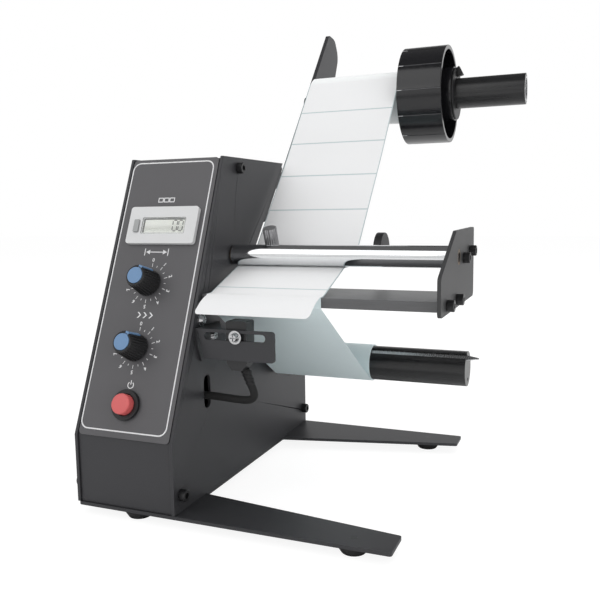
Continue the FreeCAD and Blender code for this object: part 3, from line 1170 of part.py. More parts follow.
def core_hub():
    """Hub for wide cores: it spins on a bush that slides along the tube and carries a spring clip."""
    end = HUB_X + HUB_LENGTH
    hub = rod(HUB_RADIUS, HUB_X, end, ROLL_Y, ROLL_Z)
    hub = hub.cut(rod(HUB_RADIUS - HUB_WALL, HUB_X + HUB_DISC, end, ROLL_Y, ROLL_Z))
    for rib in range(HUB_RIBS):
        angle = 360 * rib / HUB_RIBS + HUB_FIRST_RIB
        bar = box(HUB_X + HUB_DISC, end - HUB_RIB_SHORT, ROLL_Y, ROLL_Y + HUB_RADIUS - HUB_WALL / 2,
                  ROLL_Z - HUB_RIB / 2, ROLL_Z + HUB_RIB / 2)
        bar.rotate(Vector(0, ROLL_Y, ROLL_Z), RIGHT, angle)
        hub = hub.fuse(bar)
    bush_end = end + HUB_BOSS_PROUD
    hub = hub.fuse(rod(HUB_BOSS_RADIUS, HUB_X, bush_end, ROLL_Y, ROLL_Z))
    hub = hub.cut(rod(BUSH_RADIUS + RUNNING_GAP, HUB_X, bush_end, ROLL_Y, ROLL_Z))
    for seam in range(HUB_SEAMS):
        angle = 360 * seam / HUB_SEAMS
        notch = box(HUB_X - 1, end + 1, ROLL_Y - HUB_SEAM_WIDTH / 2, ROLL_Y + HUB_SEAM_WIDTH / 2,
                    ROLL_Z + HUB_RADIUS - HUB_SEAM_DEPTH,
                    ROLL_Z + HUB_RADIUS + 1)
        notch.rotate(Vector(0, ROLL_Y, ROLL_Z), RIGHT, angle)
        hub = hub.cut(notch)
    parts["core_hub"] = hub
    collar_start = bush_end + SLIDE_GAP
    collar_back = HUB_X - SLIDE_GAP
    bush = rod(BUSH_RADIUS, collar_back, collar_start, ROLL_Y, ROLL_Z)
    bush = bush.fuse(rod(BUSH_COLLAR_RADIUS, collar_start, collar_start + BUSH_COLLAR, ROLL_Y, ROLL_Z))
    bush = bush.fuse(rod(BUSH_COLLAR_RADIUS, collar_back - BUSH_COLLAR, collar_back, ROLL_Y, ROLL_Z))
    parts["hub_bush"] = bush.cut(rod(TUBE_RADIUS + RUNNING_GAP, HUB_X - 3, collar_start + 3, ROLL_Y, ROLL_Z))
    clip_x = collar_start + BUSH_COLLAR
    low = ROLL_Z + TUBE_RADIUS + CLIP_OVER_TUBE
    clip = prism(((clip_x, low), (clip_x + CLIP_REACH, low + CLIP_HEIGHT * CLIP_FOOT_SHARE),
                  (clip_x + CLIP_TOP, low + CLIP_HEIGHT), (clip_x, low + CLIP_HEIGHT * CLIP_SHOULDER_SHARE)),
                 -CLIP_WIDTH / 2, CLIP_WIDTH / 2,
                 Placement(Vector(0, ROLL_Y, 0), Rotation(RIGHT, UP, BACK * -1, "XYZ")))
    parts["hub_clip"] = clip.cut(rod(TUBE_RADIUS + 0.3, clip_x - 1, clip_x + 20, ROLL_Y, ROLL_Z))


def sensor():
    """Gap sensor on its slotted bracket, with screws, strain relief and cable."""
    back = BRACKET_FRONT + BRACKET_THICK
    front = prism(((BRACKET_X, BRACKET_HIGH), (BRACKET_END, BRACKET_HIGH, BRACKET_ROUNDING),
                   (BRACKET_END, BRACKET_LOW, BRACKET_ROUNDING),
                   (BRACKET_X + BRACKET_TAPER, BRACKET_LOW)), -back, -BRACKET_FRONT,
                  Placement(Vector(0, 0, 0), Rotation(RIGHT, UP, BACK * -1, "XYZ")))
    half = SLOT_WIDTH / 2
    slot = prism(((SLOT_START, SLOT_Z - half, half * 0.98), (SLOT_END, SLOT_Z - half, half * 0.98),
                  (SLOT_END, SLOT_Z + half, half * 0.98), (SLOT_START, SLOT_Z + half, half * 0.98)),
                 -back - 1, -BRACKET_FRONT + 1,
                 Placement(Vector(0, 0, 0), Rotation(RIGHT, UP, BACK * -1, "XYZ")))
    top = prism(((0, BRACKET_FRONT), (TOP_WING_WIDTH, BRACKET_FRONT), (0, BRACKET_FRONT + TOP_WING_DEPTH)),
                BRACKET_HIGH - BRACKET_THICK, BRACKET_HIGH)
    wing = side_prism(((BRACKET_FRONT + WING_STEP, WING_LOW, BRACKET_ROUNDING),
                       (BRACKET_FRONT + WING_LENGTH, WING_LOW, WING_ROUNDING),
                       (BRACKET_FRONT + WING_LENGTH, BRACKET_HIGH - WING_DROP, WING_ROUNDING),
                       (BRACKET_FRONT + WING_LENGTH - WING_CUT, BRACKET_HIGH), (BRACKET_FRONT, BRACKET_HIGH),
                       (BRACKET_FRONT, WING_LOW + WING_RISE)), 0, BRACKET_THICK)
    bracket = front.fuse(top).fuse(wing).cut(slot)
    screws = []
    thread = SMALL_SCREW_RADIUS + THREAD_GAP
    for y, z in BRACKET_SCREWS:
        hole = rod(thread, -SIDE_PLATE, BRACKET_THICK, y, z)
        bracket = bracket.cut(hole)
        parts["right_side_plate"] = parts["right_side_plate"].cut(hole)
        screws.append(cross_screw(Vector(BRACKET_THICK, y, z), -RIGHT, SMALL_SCREW_RADIUS,
                                  BRACKET_THICK + SIDE_PLATE + PLATE_GRIP, SMALL_HEAD_RADIUS,
                                  SMALL_HEAD))
    y, z = PLATE_SCREW
    parts["right_side_plate"] = parts["right_side_plate"].cut(rod(thread, -SIDE_PLATE, 0, y, z))
    screws.append(cross_screw(Vector(WASHER_THICK, y, z), -RIGHT, SMALL_SCREW_RADIUS,
                              WASHER_THICK + SIDE_PLATE, SMALL_HEAD_RADIUS, SMALL_HEAD))
    parts["sensor_bracket"] = bracket
    parts["bracket_screws"] = group(screws)
    parts["plate_washer"] = pipe(WASHER_RADIUS, thread, 0, WASHER_THICK, y, z)

    face = back + SLIDE_GAP
    left, right = SENSOR_X - SENSOR_WIDTH / 2, SENSOR_X + SENSOR_WIDTH / 2
    chin_left, chin_right = SENSOR_X - SENSOR_CHIN_WIDTH / 2, SENSOR_X + SENSOR_CHIN_WIDTH / 2
    chin = SENSOR_LOW - SENSOR_CHIN
    body = prism(((left, SENSOR_LOW), (chin_left, chin), (chin_right, chin), (right, SENSOR_LOW),
                  (right, SENSOR_HIGH, SENSOR_ROUNDING), (left, SENSOR_HIGH, SENSOR_ROUNDING)),
                 -face - SENSOR_DEPTH, -face,
                 Placement(Vector(0, 0, 0), Rotation(RIGHT, UP, BACK * -1, "XYZ")))
    screw_start = Vector(SENSOR_X + SENSOR_SCREW_SHIFT, BRACKET_FRONT - WASHER_THICK - 2 * RUNNING_GAP,
                         SLOT_Z)
    pilot = Part.makeCylinder(SMALL_SCREW_RADIUS + THREAD_GAP, 12, screw_start, BACK)
    parts["gap_sensor"] = body.cut(pilot)
    parts["sensor_screw"] = cross_screw(screw_start, BACK, SMALL_SCREW_RADIUS, SENSOR_SCREW_LENGTH,
                                        SENSOR_SCREW_HEAD_RADIUS, SENSOR_SCREW_HEAD)
    washer = Part.makeCylinder(WASHER_RADIUS, WASHER_THICK, screw_start, BACK)
    parts["sensor_washer"] = washer.cut(pilot)
    relief_rise = chin - RELIEF_FOOT

    def relief_slice(low, high, less):
        """Slice of the leaning cone between two shares of its height."""
        rings = []
        for share in (low, high):
            centre = Vector(RELIEF_X - RELIEF_SHIFT * share, RELIEF_Y, RELIEF_FOOT + relief_rise * share)
            radius = RELIEF_TIP_RADIUS + (RELIEF_TOP_RADIUS - RELIEF_TIP_RADIUS) * share - less
            rings.append(Part.Wire([Part.Circle(centre, UP, radius).toShape()]))
        return Part.makeLoft(rings, True)

    relief = relief_slice(0.0, 1.0, RELIEF_RIB_DEPTH)
    for rib in range(RELIEF_RIBS):
        relief = relief.fuse(relief_slice(rib / RELIEF_RIBS, (rib + 0.6) / RELIEF_RIBS, 0.0))
    parts["sensor_strain_relief"] = relief
    parts["right_side_plate"] = parts["right_side_plate"].cut(cable_slot())
    parts["sensor_cable"] = cable()


def cable_slot():
    """Upright slot in the right side plate where the cable goes in."""
    radius = CABLE_SLOT_WIDTH / 2 * 0.98
    return side_prism(rectangle(CABLE_SLOT_Y, (CABLE_SLOT_LOW + CABLE_SLOT_HIGH) / 2, CABLE_SLOT_WIDTH,
                                CABLE_SLOT_HIGH - CABLE_SLOT_LOW, radius), -SIDE_PLATE, 0)


def cable():
    """Round cable of straight runs joined by the largest tangent arcs that they allow."""
    points = [Vector(*point) for point in CABLE_POINTS]
    edges, radii = [], []
    start = points[0]
    length = 0.0
    for before, here, after in zip(points, points[1:], points[2:]):
        back = before - here
        onward = after - here
        shorter = min(back.Length, onward.Length)
        back.normalize()
        onward.normalize()
        half = back.getAngle(onward) / 2
        turn = math.pi - 2 * half
        radius = 0.45 * shorter / math.tan(turn / 2)
        reach = 0.45 * shorter
        middle = back + onward
        middle.normalize()
        arc_start = here + back * reach
        arc_end = here + onward * reach
        edges.append(Part.LineSegment(start, arc_start).toShape())
        edges.append(Part.Arc(arc_start, here + middle * (radius / math.sin(half) - radius),
                              arc_end).toShape())
        radii.append(radius)
        length += start.distanceToPoint(arc_start) + radius * turn
        start = arc_end
    edges.append(Part.LineSegment(start, points[-1]).toShape())
    length += start.distanceToPoint(points[-1])
    way = points[1] - points[0]
    circle = Part.Wire([Part.Circle(points[0], way, CABLE_RADIUS).toShape()])
    tube = Part.Wire(edges).makePipeShell([circle], True, False)
    tube = Part.Solid(tube) if tube.ShapeType == "Shell" else tube
    reach = 4 * CABLE_RADIUS
    above = box(RELIEF_X - reach, RELIEF_X + reach, RELIEF_Y - reach, RELIEF_Y + reach, RELIEF_FOOT,
                RELIEF_FOOT + reach)
    tube = tube.cut(above)
    print("cable radii", [round(radius, 1) for radius in radii], "length", round(length, 1))
    print("cable volume", round(tube.Volume, 1), "section by length",
          round(math.pi * CABLE_RADIUS ** 2 * length, 1))
    return tube


def electrics():
    """Circuit board, power supply, power inlet and fuse holder."""
    left = LEFT_INNER + BOARD_STAND
    board = box(left, left + BOARD_THICK, BOARD_FRONT, BOARD_FRONT + BOARD_LENGTH,
                BOARD_LOW, BOARD_LOW + BOARD_HEIGHT)
    posts, screws = [], []
    thread = SMALL_SCREW_RADIUS + THREAD_GAP
    for y in (BOARD_FRONT + BOARD_SCREW_INSET, BOARD_FRONT + BOARD_LENGTH - BOARD_SCREW_INSET):
        for z in (BOARD_LOW + BOARD_SCREW_INSET, BOARD_LOW + BOARD_HEIGHT - BOARD_SCREW_INSET):
            hole = rod(thread, LEFT_INNER, left + BOARD_THICK, y, z)
            posts.append(rod(STANDOFF_RADIUS, LEFT_INNER, left, y, z).cut(hole))
            board = board.cut(hole)
            screws.append(cross_screw(Vector(left + BOARD_THICK, y, z), -RIGHT, SMALL_SCREW_RADIUS,
                                      BOARD_STAND + BOARD_THICK - 1, SMALL_HEAD_RADIUS * BOARD_HEAD_SHARE,
                                      SMALL_HEAD))
    face = left + BOARD_THICK
    chips = []
    for thick, y, z, length, height in BOARD_CHIPS:
        chips.append(box(face, face + thick, BOARD_FRONT + y, BOARD_FRONT + y + length,
                         BOARD_LOW + z, BOARD_LOW + z + height))
    for y, z in BOARD_CANS:
        chips.append(rod(BOARD_CAN_RADIUS, face, face + BOARD_CAN_HEIGHT, BOARD_FRONT + y, BOARD_LOW + z))
    parts["circuit_board"] = board
    parts["board_components"] = group(chips)
    parts["board_standoffs"] = group(posts)
    parts["board_screws"] = group(screws)

    x0 = LEFT_INNER + FOOT_FLANGE + SLIDE_GAP
    block = box(x0, x0 + SUPPLY_WIDTH, SUPPLY_FRONT, SUPPLY_FRONT + SUPPLY_LENGTH, BASE_PLATE,
                BASE_PLATE + SUPPLY_HEIGHT)
    parts["power_supply"] = block

    x = -INLET_IN
    wall = BODY_DEPTH - PROUD
    body = box(x - INLET_WIDTH / 2, x + INLET_WIDTH / 2, wall - INLET_DEEP, wall,
               INLET_Z - INLET_HEIGHT / 2, INLET_Z + INLET_HEIGHT / 2)
    hole = box(x - INLET_WIDTH / 2 - SLIDE_GAP, x + INLET_WIDTH / 2 + SLIDE_GAP, wall - COVER_SHEET, wall,
               INLET_Z - INLET_HEIGHT / 2 - SLIDE_GAP, INLET_Z + INLET_HEIGHT / 2 + SLIDE_GAP)
    flange_left = max(x - INLET_FLANGE / 2, LEFT_INNER + INLET_EDGE)
    flange = box(flange_left, 2 * x - flange_left, wall, wall + INLET_FLANGE_THICK,
                 INLET_Z - INLET_FLANGE_HEIGHT / 2, INLET_Z + INLET_FLANGE_HEIGHT / 2)
    floor = wall - INLET_DEEP + INLET_FLOOR
    recess = box(x - INLET_WIDTH / 2 + INLET_WALL, x + INLET_WIDTH / 2 - INLET_WALL, floor,
                 wall + INLET_FLANGE_THICK, INLET_Z - INLET_HEIGHT / 2 + INLET_WALL,
                 INLET_Z + INLET_HEIGHT / 2 - INLET_WALL)
    inlet = body.fuse(flange).cut(recess)
    pins = [box(x + shift - PIN_WIDTH / 2, x + shift + PIN_WIDTH / 2, floor, wall - PIN_SHORT,
                INLET_Z + rise - PIN_HEIGHT / 2, INLET_Z + rise + PIN_HEIGHT / 2)
            for shift, rise in INLET_PINS]
    parts["power_inlet"] = inlet
    parts["inlet_pins"] = group(pins)
    screws = []
    cover = parts["rear_cover"].cut(hole)
    margin = (INLET_WIDTH / 2 + x - flange_left) / 2
    for shift in (-margin, margin):
        spot = Vector(x + shift, wall + INLET_FLANGE_THICK, INLET_Z)
        drill = Part.makeCylinder(SMALL_SCREW_RADIUS + THREAD_GAP, 10, spot, BACK * -1)
        parts["power_inlet"] = parts["power_inlet"].cut(drill)
        cover = cover.cut(drill)
        screws.append(cross_screw(spot, BACK * -1, SMALL_SCREW_RADIUS, INLET_SCREW,
                                  SMALL_HEAD_RADIUS * BOARD_HEAD_SHARE, SMALL_HEAD))
    parts["inlet_screws"] = group(screws)
    fuse_x = -FUSE_IN
    fuse = Part.makeCylinder(FUSE_RADIUS, FUSE_DEEP, Vector(fuse_x, wall - FUSE_DEEP, INLET_Z), BACK)
    fuse = fuse.fuse(Part.makeCylinder(FUSE_FLANGE_RADIUS, FUSE_PROUD, Vector(fuse_x, wall, INLET_Z), BACK))
    parts["fuse_holder"] = fuse
    parts["rear_cover"] = cover.cut(Part.makeCylinder(FUSE_RADIUS + SLIDE_GAP, 10,
                                                      Vector(fuse_x, wall - 9, INLET_Z), BACK))


body_shell()
feet()
control_panel()
counter()
dial_knob("length", LENGTH_KNOB_V, LENGTH_POINTER)
dial_knob("speed", SPEED_KNOB_V, SPEED_POINTER)
potentiometers()
power_button()
label_path()
lock_collar()
web_and_liner()
take_up()
drive()
supply_arm()
core_hub()
sensor()
electrics()

# Pieces that share a node, each still a solid of its own
SHARED = {
    "socket_screws": ("side_plate_screws", "end_plate_screws", "bar_screws", "arm_screws", "arm_bolt"),
    "pan_head_screws": ("base_screws", "foot_screws", "drive_screws", "board_screws", "inlet_screws"),
    "bracket_screws": ("bracket_screws", "plate_washer"),
    "sensor_screw": ("sensor_screw", "sensor_washer"),
    "tie_rods": ("tie_rods", "board_standoffs", "bracket_standoffs"),
    "guide_rods": ("collar_rod", "guide_rod"),
    "shaft_bushes": ("roller_bushes", "drum_bushes"),
    "drum_shaft": ("drum_shaft", "shaft_retaining_ring"),
    "motor_pinion": ("motor_pinion", "motor_shaft"),
    "circuit_board": ("circuit_board", "board_components"),
    "power_inlet": ("power_inlet", "inlet_pins", "fuse_holder"),
    "potentiometers": ("potentiometers", "potentiometer_nuts"),
    "length_knob": ("length_knob", "length_knob_shaft"),
    "speed_knob": ("speed_knob", "speed_knob_shaft"),
    "supply_tube": ("supply_tube", "tube_plug"),
}
for node, members in SHARED.items():
    parts[node] = group([solid for member in members for solid in parts.pop(member).Solids])

# The origin lies under the middle of the part, on the surface that it stands on
extent = Part.makeCompound(list(parts.values())).optimalBoundingBox(False, False)
SHIFT = Vector(-(extent.XMin + extent.XMax) / 2, -(extent.YMin + extent.YMax) / 2, -extent.ZMin)
print("shift", [round(value, 4) for value in SHIFT])
print("size", round(extent.XLength, 2), round(extent.YLength, 2), round(extent.ZLength, 2))

os.makedirs("parts", exist_ok=True)
for name, shape in parts.items():
    placed = shape.copy()
    placed.transformShape(Placement(SHIFT, Rotation()).toMatrix())
    if not placed.isValid():
        print("not valid:", name)
    placed.exportStep("parts/" + name + ".step")
print(len(parts), "nodes,", sum(len(shape.Solids) for shape in parts.values()), "solids")
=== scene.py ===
import logging
import math
from dataclasses import dataclass, field
from enum import Enum
from typing import Callable, Iterable, Sequence

import bmesh
import bpy
from mathutils import Matrix, Vector


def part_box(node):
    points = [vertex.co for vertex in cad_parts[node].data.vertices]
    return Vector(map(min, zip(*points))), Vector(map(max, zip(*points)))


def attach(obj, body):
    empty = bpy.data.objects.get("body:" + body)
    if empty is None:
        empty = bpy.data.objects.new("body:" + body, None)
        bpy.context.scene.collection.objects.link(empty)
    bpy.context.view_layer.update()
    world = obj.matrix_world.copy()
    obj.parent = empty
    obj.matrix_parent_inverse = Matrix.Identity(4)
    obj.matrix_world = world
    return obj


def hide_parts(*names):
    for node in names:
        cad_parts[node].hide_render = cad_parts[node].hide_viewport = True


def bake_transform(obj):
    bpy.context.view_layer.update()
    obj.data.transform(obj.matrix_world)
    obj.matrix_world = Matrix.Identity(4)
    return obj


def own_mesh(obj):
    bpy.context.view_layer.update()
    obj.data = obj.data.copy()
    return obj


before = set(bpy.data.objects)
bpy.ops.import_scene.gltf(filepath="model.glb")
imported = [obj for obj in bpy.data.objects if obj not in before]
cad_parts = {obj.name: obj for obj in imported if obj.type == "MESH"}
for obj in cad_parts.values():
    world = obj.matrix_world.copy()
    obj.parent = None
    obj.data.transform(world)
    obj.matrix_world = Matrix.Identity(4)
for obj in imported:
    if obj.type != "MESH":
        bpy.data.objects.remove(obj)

LOG = logging.getLogger("label_dispenser")
MM = 0.001
IMAGE_SIZE = 600
Point = tuple[float, float, float]
Colour = tuple[float, float, float]


# Places: the datum of the measurements and the plane of the control panel

@dataclass(frozen=True)
class Datum:
    """Corner of the machine that every size in this file is measured from, in metres."""

    corner: Vector

    @classmethod
    def of_frame(cls) -> "Datum":
        """Finds the corner: outer face of the right side plate, front and underside of the base plate."""
        base_low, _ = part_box("base_plate")
        _, plate_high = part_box("right_side_plate")
        return cls(Vector((plate_high.x, base_low.y, base_low.z)))

    def at(self, x: float, y: float, z: float) -> Vector:
        """Gives the point in metres that lies x, y and z millimetres from the corner."""
        return self.corner + Vector((x, y, z)) * MM

    def frame_at(self, x: float, y: float, z: float, right: Vector, up: Vector) -> Matrix:
        """Gives the matrix of a local frame.

        Args:
            x: Millimetres to the right of the corner.
            y: Millimetres behind the corner.
            z: Millimetres above the corner.
            right: Direction of the frame's first axis.
            up: Direction of the frame's second axis.

        Returns:
            The matrix that takes local metres to the row frame.
        """
        out = right.cross(up)
        turn = Matrix((right, up, out)).transposed().to_4x4()
        return Matrix.Translation(self.at(x, y, z)) @ turn


@dataclass(frozen=True)
class PanelPlane:
    """Plane of the slanted control panel: u runs right, v up the slope and w out of the face."""

    datum: Datum
    foot_height: float = 42.8
    lean_deg: float = 23.2
    recess: float = 0.2

    @property
    def slope(self) -> Vector:
        """Direction up the slope."""
        lean = math.radians(self.lean_deg)
        return Vector((0.0, math.sin(lean), math.cos(lean)))

    @property
    def outward(self) -> Vector:
        """Direction out of the face."""
        lean = math.radians(self.lean_deg)
        return Vector((0.0, -math.cos(lean), math.sin(lean)))

    def frame_at(self, u: float, v: float, w: float = 0.0, turn: float = 0.0) -> Matrix:
        """Gives the matrix of a frame on the panel.

        Args:
            u: Millimetres to the right of the datum.
            v: Millimetres up the slope.
            w: Millimetres out of the face.
            turn: Turn about the outward axis in radians, clockwise as seen from the front.

        Returns:
            The matrix that takes local metres, with z out of the face, to the row frame.
        """
        place = Vector((u, 0.0, self.foot_height)) + self.slope * v + self.outward * (w - self.recess)
        right = Vector((1.0, 0.0, 0.0))
        flat = self.datum.frame_at(place.x, place.y, place.z, right, self.slope)
        return flat @ Matrix.Rotation(-turn, 4, "Z")


# Shader groups that the finishes share

class Pattern(Enum):
    """Texture that a finish carries."""

    GRAIN = "surface_grain"
    WOUND = "wound_layers"


class ShaderGroups:
    """Builds each shared shader group once."""

    def __init__(self) -> None:
        """Builds the groups for grain, wound layers and handling marks."""
        self.grain = self._grain()
        self.wound = self._wound()
        self.marks = self._marks()

    @staticmethod
    def _start(name: str, inputs: dict[str, str], outputs: dict[str, str]) -> tuple:
        """Makes an empty group.

        Args:
            name: Name of the group.
            inputs: Socket type of each input.
            outputs: Socket type of each output.

        Returns:
            The tree, its input node and its output node.
        """
        tree = bpy.data.node_groups.new(name, "ShaderNodeTree")
        for socket, kind in inputs.items():
            tree.interface.new_socket(socket, in_out="INPUT", socket_type=kind)
        for socket, kind in outputs.items():
            tree.interface.new_socket(socket, in_out="OUTPUT", socket_type=kind)
        return tree, tree.nodes.new("NodeGroupInput"), tree.nodes.new("NodeGroupOutput")

    @staticmethod
    def _spread(tree: bpy.types.NodeTree, fac, low, high) -> bpy.types.NodeSocket:
        """Adds a map range from 0.3..0.7 to two linked values.

        Args:
            tree: Tree that gets the node.
            fac: Socket of the noise.
            low: Socket of the value at the noise's low end.
            high: Socket of the value at its high end.

        Returns:
            The socket of the result.
        """
        node = tree.nodes.new("ShaderNodeMapRange")
        node.inputs["From Min"].default_value = 0.3
        node.inputs["From Max"].default_value = 0.7
        tree.links.new(fac, node.inputs["Value"])
        tree.links.new(low, node.inputs["To Min"])
        tree.links.new(high, node.inputs["To Max"])
        return node.outputs["Result"]

    @staticmethod
    def _blend(tree: bpy.types.NodeTree, fac, dark, light) -> bpy.types.NodeSocket:
        """Adds a colour mix from dark to light and gives its result socket."""
        mix = tree.nodes.new("ShaderNodeMix")
        mix.data_type = "RGBA"
        tree.links.new(fac, mix.inputs["Factor"])
        tree.links.new(dark, mix.inputs["A"])
        tree.links.new(light, mix.inputs["B"])
        return mix.outputs["Result"]

    def _grain(self) -> bpy.types.NodeTree:
        """Grain of powder coat, moulded plastic, brushed or turned metal and paper, by its stretch."""
        tree, given, result = self._start(
            "surface_grain",
            {"Vector": "NodeSocketVector", "Stretch": "NodeSocketVector", "Scale": "NodeSocketFloat",
             "Dark": "NodeSocketColor", "Light": "NodeSocketColor",
             "Rough Low": "NodeSocketFloat", "Rough High": "NodeSocketFloat"},
            {"Colour": "NodeSocketColor", "Roughness": "NodeSocketFloat", "Height": "NodeSocketFloat"})
        stretch = tree.nodes.new("ShaderNodeVectorMath")
        stretch.operation = "MULTIPLY"
        tree.links.new(given.outputs["Vector"], stretch.inputs[0])
        tree.links.new(given.outputs["Stretch"], stretch.inputs[1])
        fine = tree.nodes.new("ShaderNodeTexNoise")
        fine.inputs["Detail"].default_value = 3.0
        tree.links.new(stretch.outputs["Vector"], fine.inputs["Vector"])
        tree.links.new(given.outputs["Scale"], fine.inputs["Scale"])
        shade = self._blend(tree, fine.outputs["Fac"], given.outputs["Dark"], given.outputs["Light"])
        rough = self._spread(tree, fine.outputs["Fac"], given.outputs["Rough Low"],
                             given.outputs["Rough High"])
        tree.links.new(shade, result.inputs["Colour"])
        tree.links.new(rough, result.inputs["Roughness"])
        tree.links.new(fine.outputs["Fac"], result.inputs["Height"])
        return tree

    def _wound(self) -> bpy.types.NodeTree:
        """Layers wound about an axis along X, as on the end of a roll or of its core."""
        tree, given, result = self._start(
            "wound_layers",
            {"Vector": "NodeSocketVector", "Stretch": "NodeSocketVector", "Scale": "NodeSocketFloat",
             "Dark": "NodeSocketColor", "Light": "NodeSocketColor",
             "Rough Low": "NodeSocketFloat", "Rough High": "NodeSocketFloat"},
            {"Colour": "NodeSocketColor", "Roughness": "NodeSocketFloat", "Height": "NodeSocketFloat"})
        flat = tree.nodes.new("ShaderNodeVectorMath")
        flat.operation = "MULTIPLY"
        tree.links.new(given.outputs["Vector"], flat.inputs[0])
        tree.links.new(given.outputs["Stretch"], flat.inputs[1])
        radius = tree.nodes.new("ShaderNodeVectorMath")
        radius.operation = "LENGTH"
        tree.links.new(flat.outputs["Vector"], radius.inputs[0])
        layers = tree.nodes.new("ShaderNodeTexNoise")
        layers.noise_dimensions = "1D"
        layers.inputs["Detail"].default_value = 1.0
        tree.links.new(radius.outputs["Value"], layers.inputs["W"])
        tree.links.new(given.outputs["Scale"], layers.inputs["Scale"])
        shade = self._blend(tree, layers.outputs["Fac"], given.outputs["Dark"], given.outputs["Light"])
        rough = self._spread(tree, layers.outputs["Fac"], given.outputs["Rough Low"],
                             given.outputs["Rough High"])
        tree.links.new(shade, result.inputs["Colour"])
        tree.links.new(rough, result.inputs["Roughness"])
        tree.links.new(layers.outputs["Fac"], result.inputs["Height"])
        return tree

    def _marks(self) -> bpy.types.NodeTree:
        """Broad cloudy change of tone and shine that handling leaves."""
        tree, given, result = self._start(
            "handling_marks",
            {"Vector": "NodeSocketVector", "Scale": "NodeSocketFloat", "Colour": "NodeSocketColor",
             "Roughness": "NodeSocketFloat", "Tone": "NodeSocketFloat", "Shine": "NodeSocketFloat"},
            {"Colour": "NodeSocketColor", "Roughness": "NodeSocketFloat"})
        cloud = tree.nodes.new("ShaderNodeTexNoise")
        cloud.inputs["Detail"].default_value = 4.0
        cloud.inputs["Roughness"].default_value = 0.6
        tree.links.new(given.outputs["Vector"], cloud.inputs["Vector"])
        tree.links.new(given.outputs["Scale"], cloud.inputs["Scale"])
        centred = tree.nodes.new("ShaderNodeMath")
        centred.operation = "SUBTRACT"
        centred.inputs[1].default_value = 0.5
        tree.links.new(cloud.outputs["Fac"], centred.inputs[0])
        tone = tree.nodes.new("ShaderNodeMath")
        tone.operation = "MULTIPLY_ADD"
        tone.inputs[2].default_value = 1.0
        tree.links.new(centred.outputs[0], tone.inputs[0])
        tree.links.new(given.outputs["Tone"], tone.inputs[1])
        tint = tree.nodes.new("ShaderNodeVectorMath")
        tint.operation = "SCALE"
        tree.links.new(given.outputs["Colour"], tint.inputs[0])
        tree.links.new(tone.outputs[0], tint.inputs["Scale"])
        shine = tree.nodes.new("ShaderNodeMath")
        shine.operation = "MULTIPLY_ADD"
        tree.links.new(centred.outputs[0], shine.inputs[0])
        tree.links.new(given.outputs["Shine"], shine.inputs[1])
        tree.links.new(given.outputs["Roughness"], shine.inputs[2])
        tree.links.new(tint.outputs["Vector"], result.inputs["Colour"])
        tree.links.new(shine.outputs[0], result.inputs["Roughness"])
        return tree


@dataclass(frozen=True)
class Finish:
    """One finish: its tones, its grain and how it shines. Grain sizes are per metre."""

    name: str
    dark: Colour
    light: Colour
    rough: tuple[float, float]
    scale: float
    stretch: Point = (1.0, 1.0, 1.0)
    pattern: Pattern = Pattern.GRAIN
    axis: Point = (0.0, 0.0, 0.0)
    bump: float = 0.25
    depth: float = 0.00004
    tone: float = 0.25
    shine: float = 0.08
    marks_scale: float = 28.0
    metallic: float = 0.0
    specular: float = 0.5
    coat: float = 0.0
    coat_roughness: float = 0.1
    glass: float = 0.0
    glow: float = 0.0

    def material(self, groups: ShaderGroups) -> bpy.types.Material:
        """Makes the material, or gives the one already made.

        Args:
            groups: The shared shader groups.

        Returns:
            The material with its node tree.
        """
        made = bpy.data.materials.get(self.name)
        if made is not None:
            return made
        made = bpy.data.materials.new(self.name)
        made.use_nodes = True
        made.diffuse_color = (*self.light, 1.0)
        tree = made.node_tree
        tree.nodes.clear()
        place = tree.nodes.new("ShaderNodeTexCoord")
        shift = tree.nodes.new("ShaderNodeVectorMath")
        shift.operation = "SUBTRACT"
        shift.inputs[1].default_value = self.axis
        tree.links.new(place.outputs["Object"], shift.inputs[0])
        texture = tree.nodes.new("ShaderNodeGroup")
        texture.node_tree = groups.wound if self.pattern is Pattern.WOUND else groups.grain
        tree.links.new(shift.outputs["Vector"], texture.inputs["Vector"])
        texture.inputs["Stretch"].default_value = self.stretch
        texture.inputs["Scale"].default_value = self.scale
        texture.inputs["Dark"].default_value = (*self.dark, 1.0)
        texture.inputs["Light"].default_value = (*self.light, 1.0)
        texture.inputs["Rough Low"].default_value = self.rough[0]
        texture.inputs["Rough High"].default_value = self.rough[1]
        marks = tree.nodes.new("ShaderNodeGroup")
        marks.node_tree = groups.marks
        tree.links.new(place.outputs["Object"], marks.inputs["Vector"])
        tree.links.new(texture.outputs["Colour"], marks.inputs["Colour"])
        tree.links.new(texture.outputs["Roughness"], marks.inputs["Roughness"])
        marks.inputs["Scale"].default_value = self.marks_scale
        marks.inputs["Tone"].default_value = self.tone
        marks.inputs["Shine"].default_value = self.shine
        shader = tree.nodes.new("ShaderNodeBsdfPrincipled")
        shader.inputs["Metallic"].default_value = self.metallic
        shader.inputs["Specular IOR Level"].default_value = self.specular
        shader.inputs["Coat Weight"].default_value = self.coat
        shader.inputs["Coat Roughness"].default_value = self.coat_roughness
        shader.inputs["Transmission Weight"].default_value = self.glass
        tree.links.new(marks.outputs["Colour"], shader.inputs["Base Color"])
        tree.links.new(marks.outputs["Roughness"], shader.inputs["Roughness"])
        if self.glow > 0:
            tree.links.new(marks.outputs["Colour"], shader.inputs["Emission Color"])
            shader.inputs["Emission Strength"].default_value = self.glow
        if self.bump > 0:
            bump = tree.nodes.new("ShaderNodeBump")
            bump.inputs["Strength"].default_value = self.bump
            bump.inputs["Distance"].default_value = self.depth
            tree.links.new(texture.outputs["Height"], bump.inputs["Height"])
            tree.links.new(bump.outputs["Normal"], shader.inputs["Normal"])
        end = tree.nodes.new("ShaderNodeOutputMaterial")
        tree.links.new(shader.outputs["BSDF"], end.inputs["Surface"])
        return made


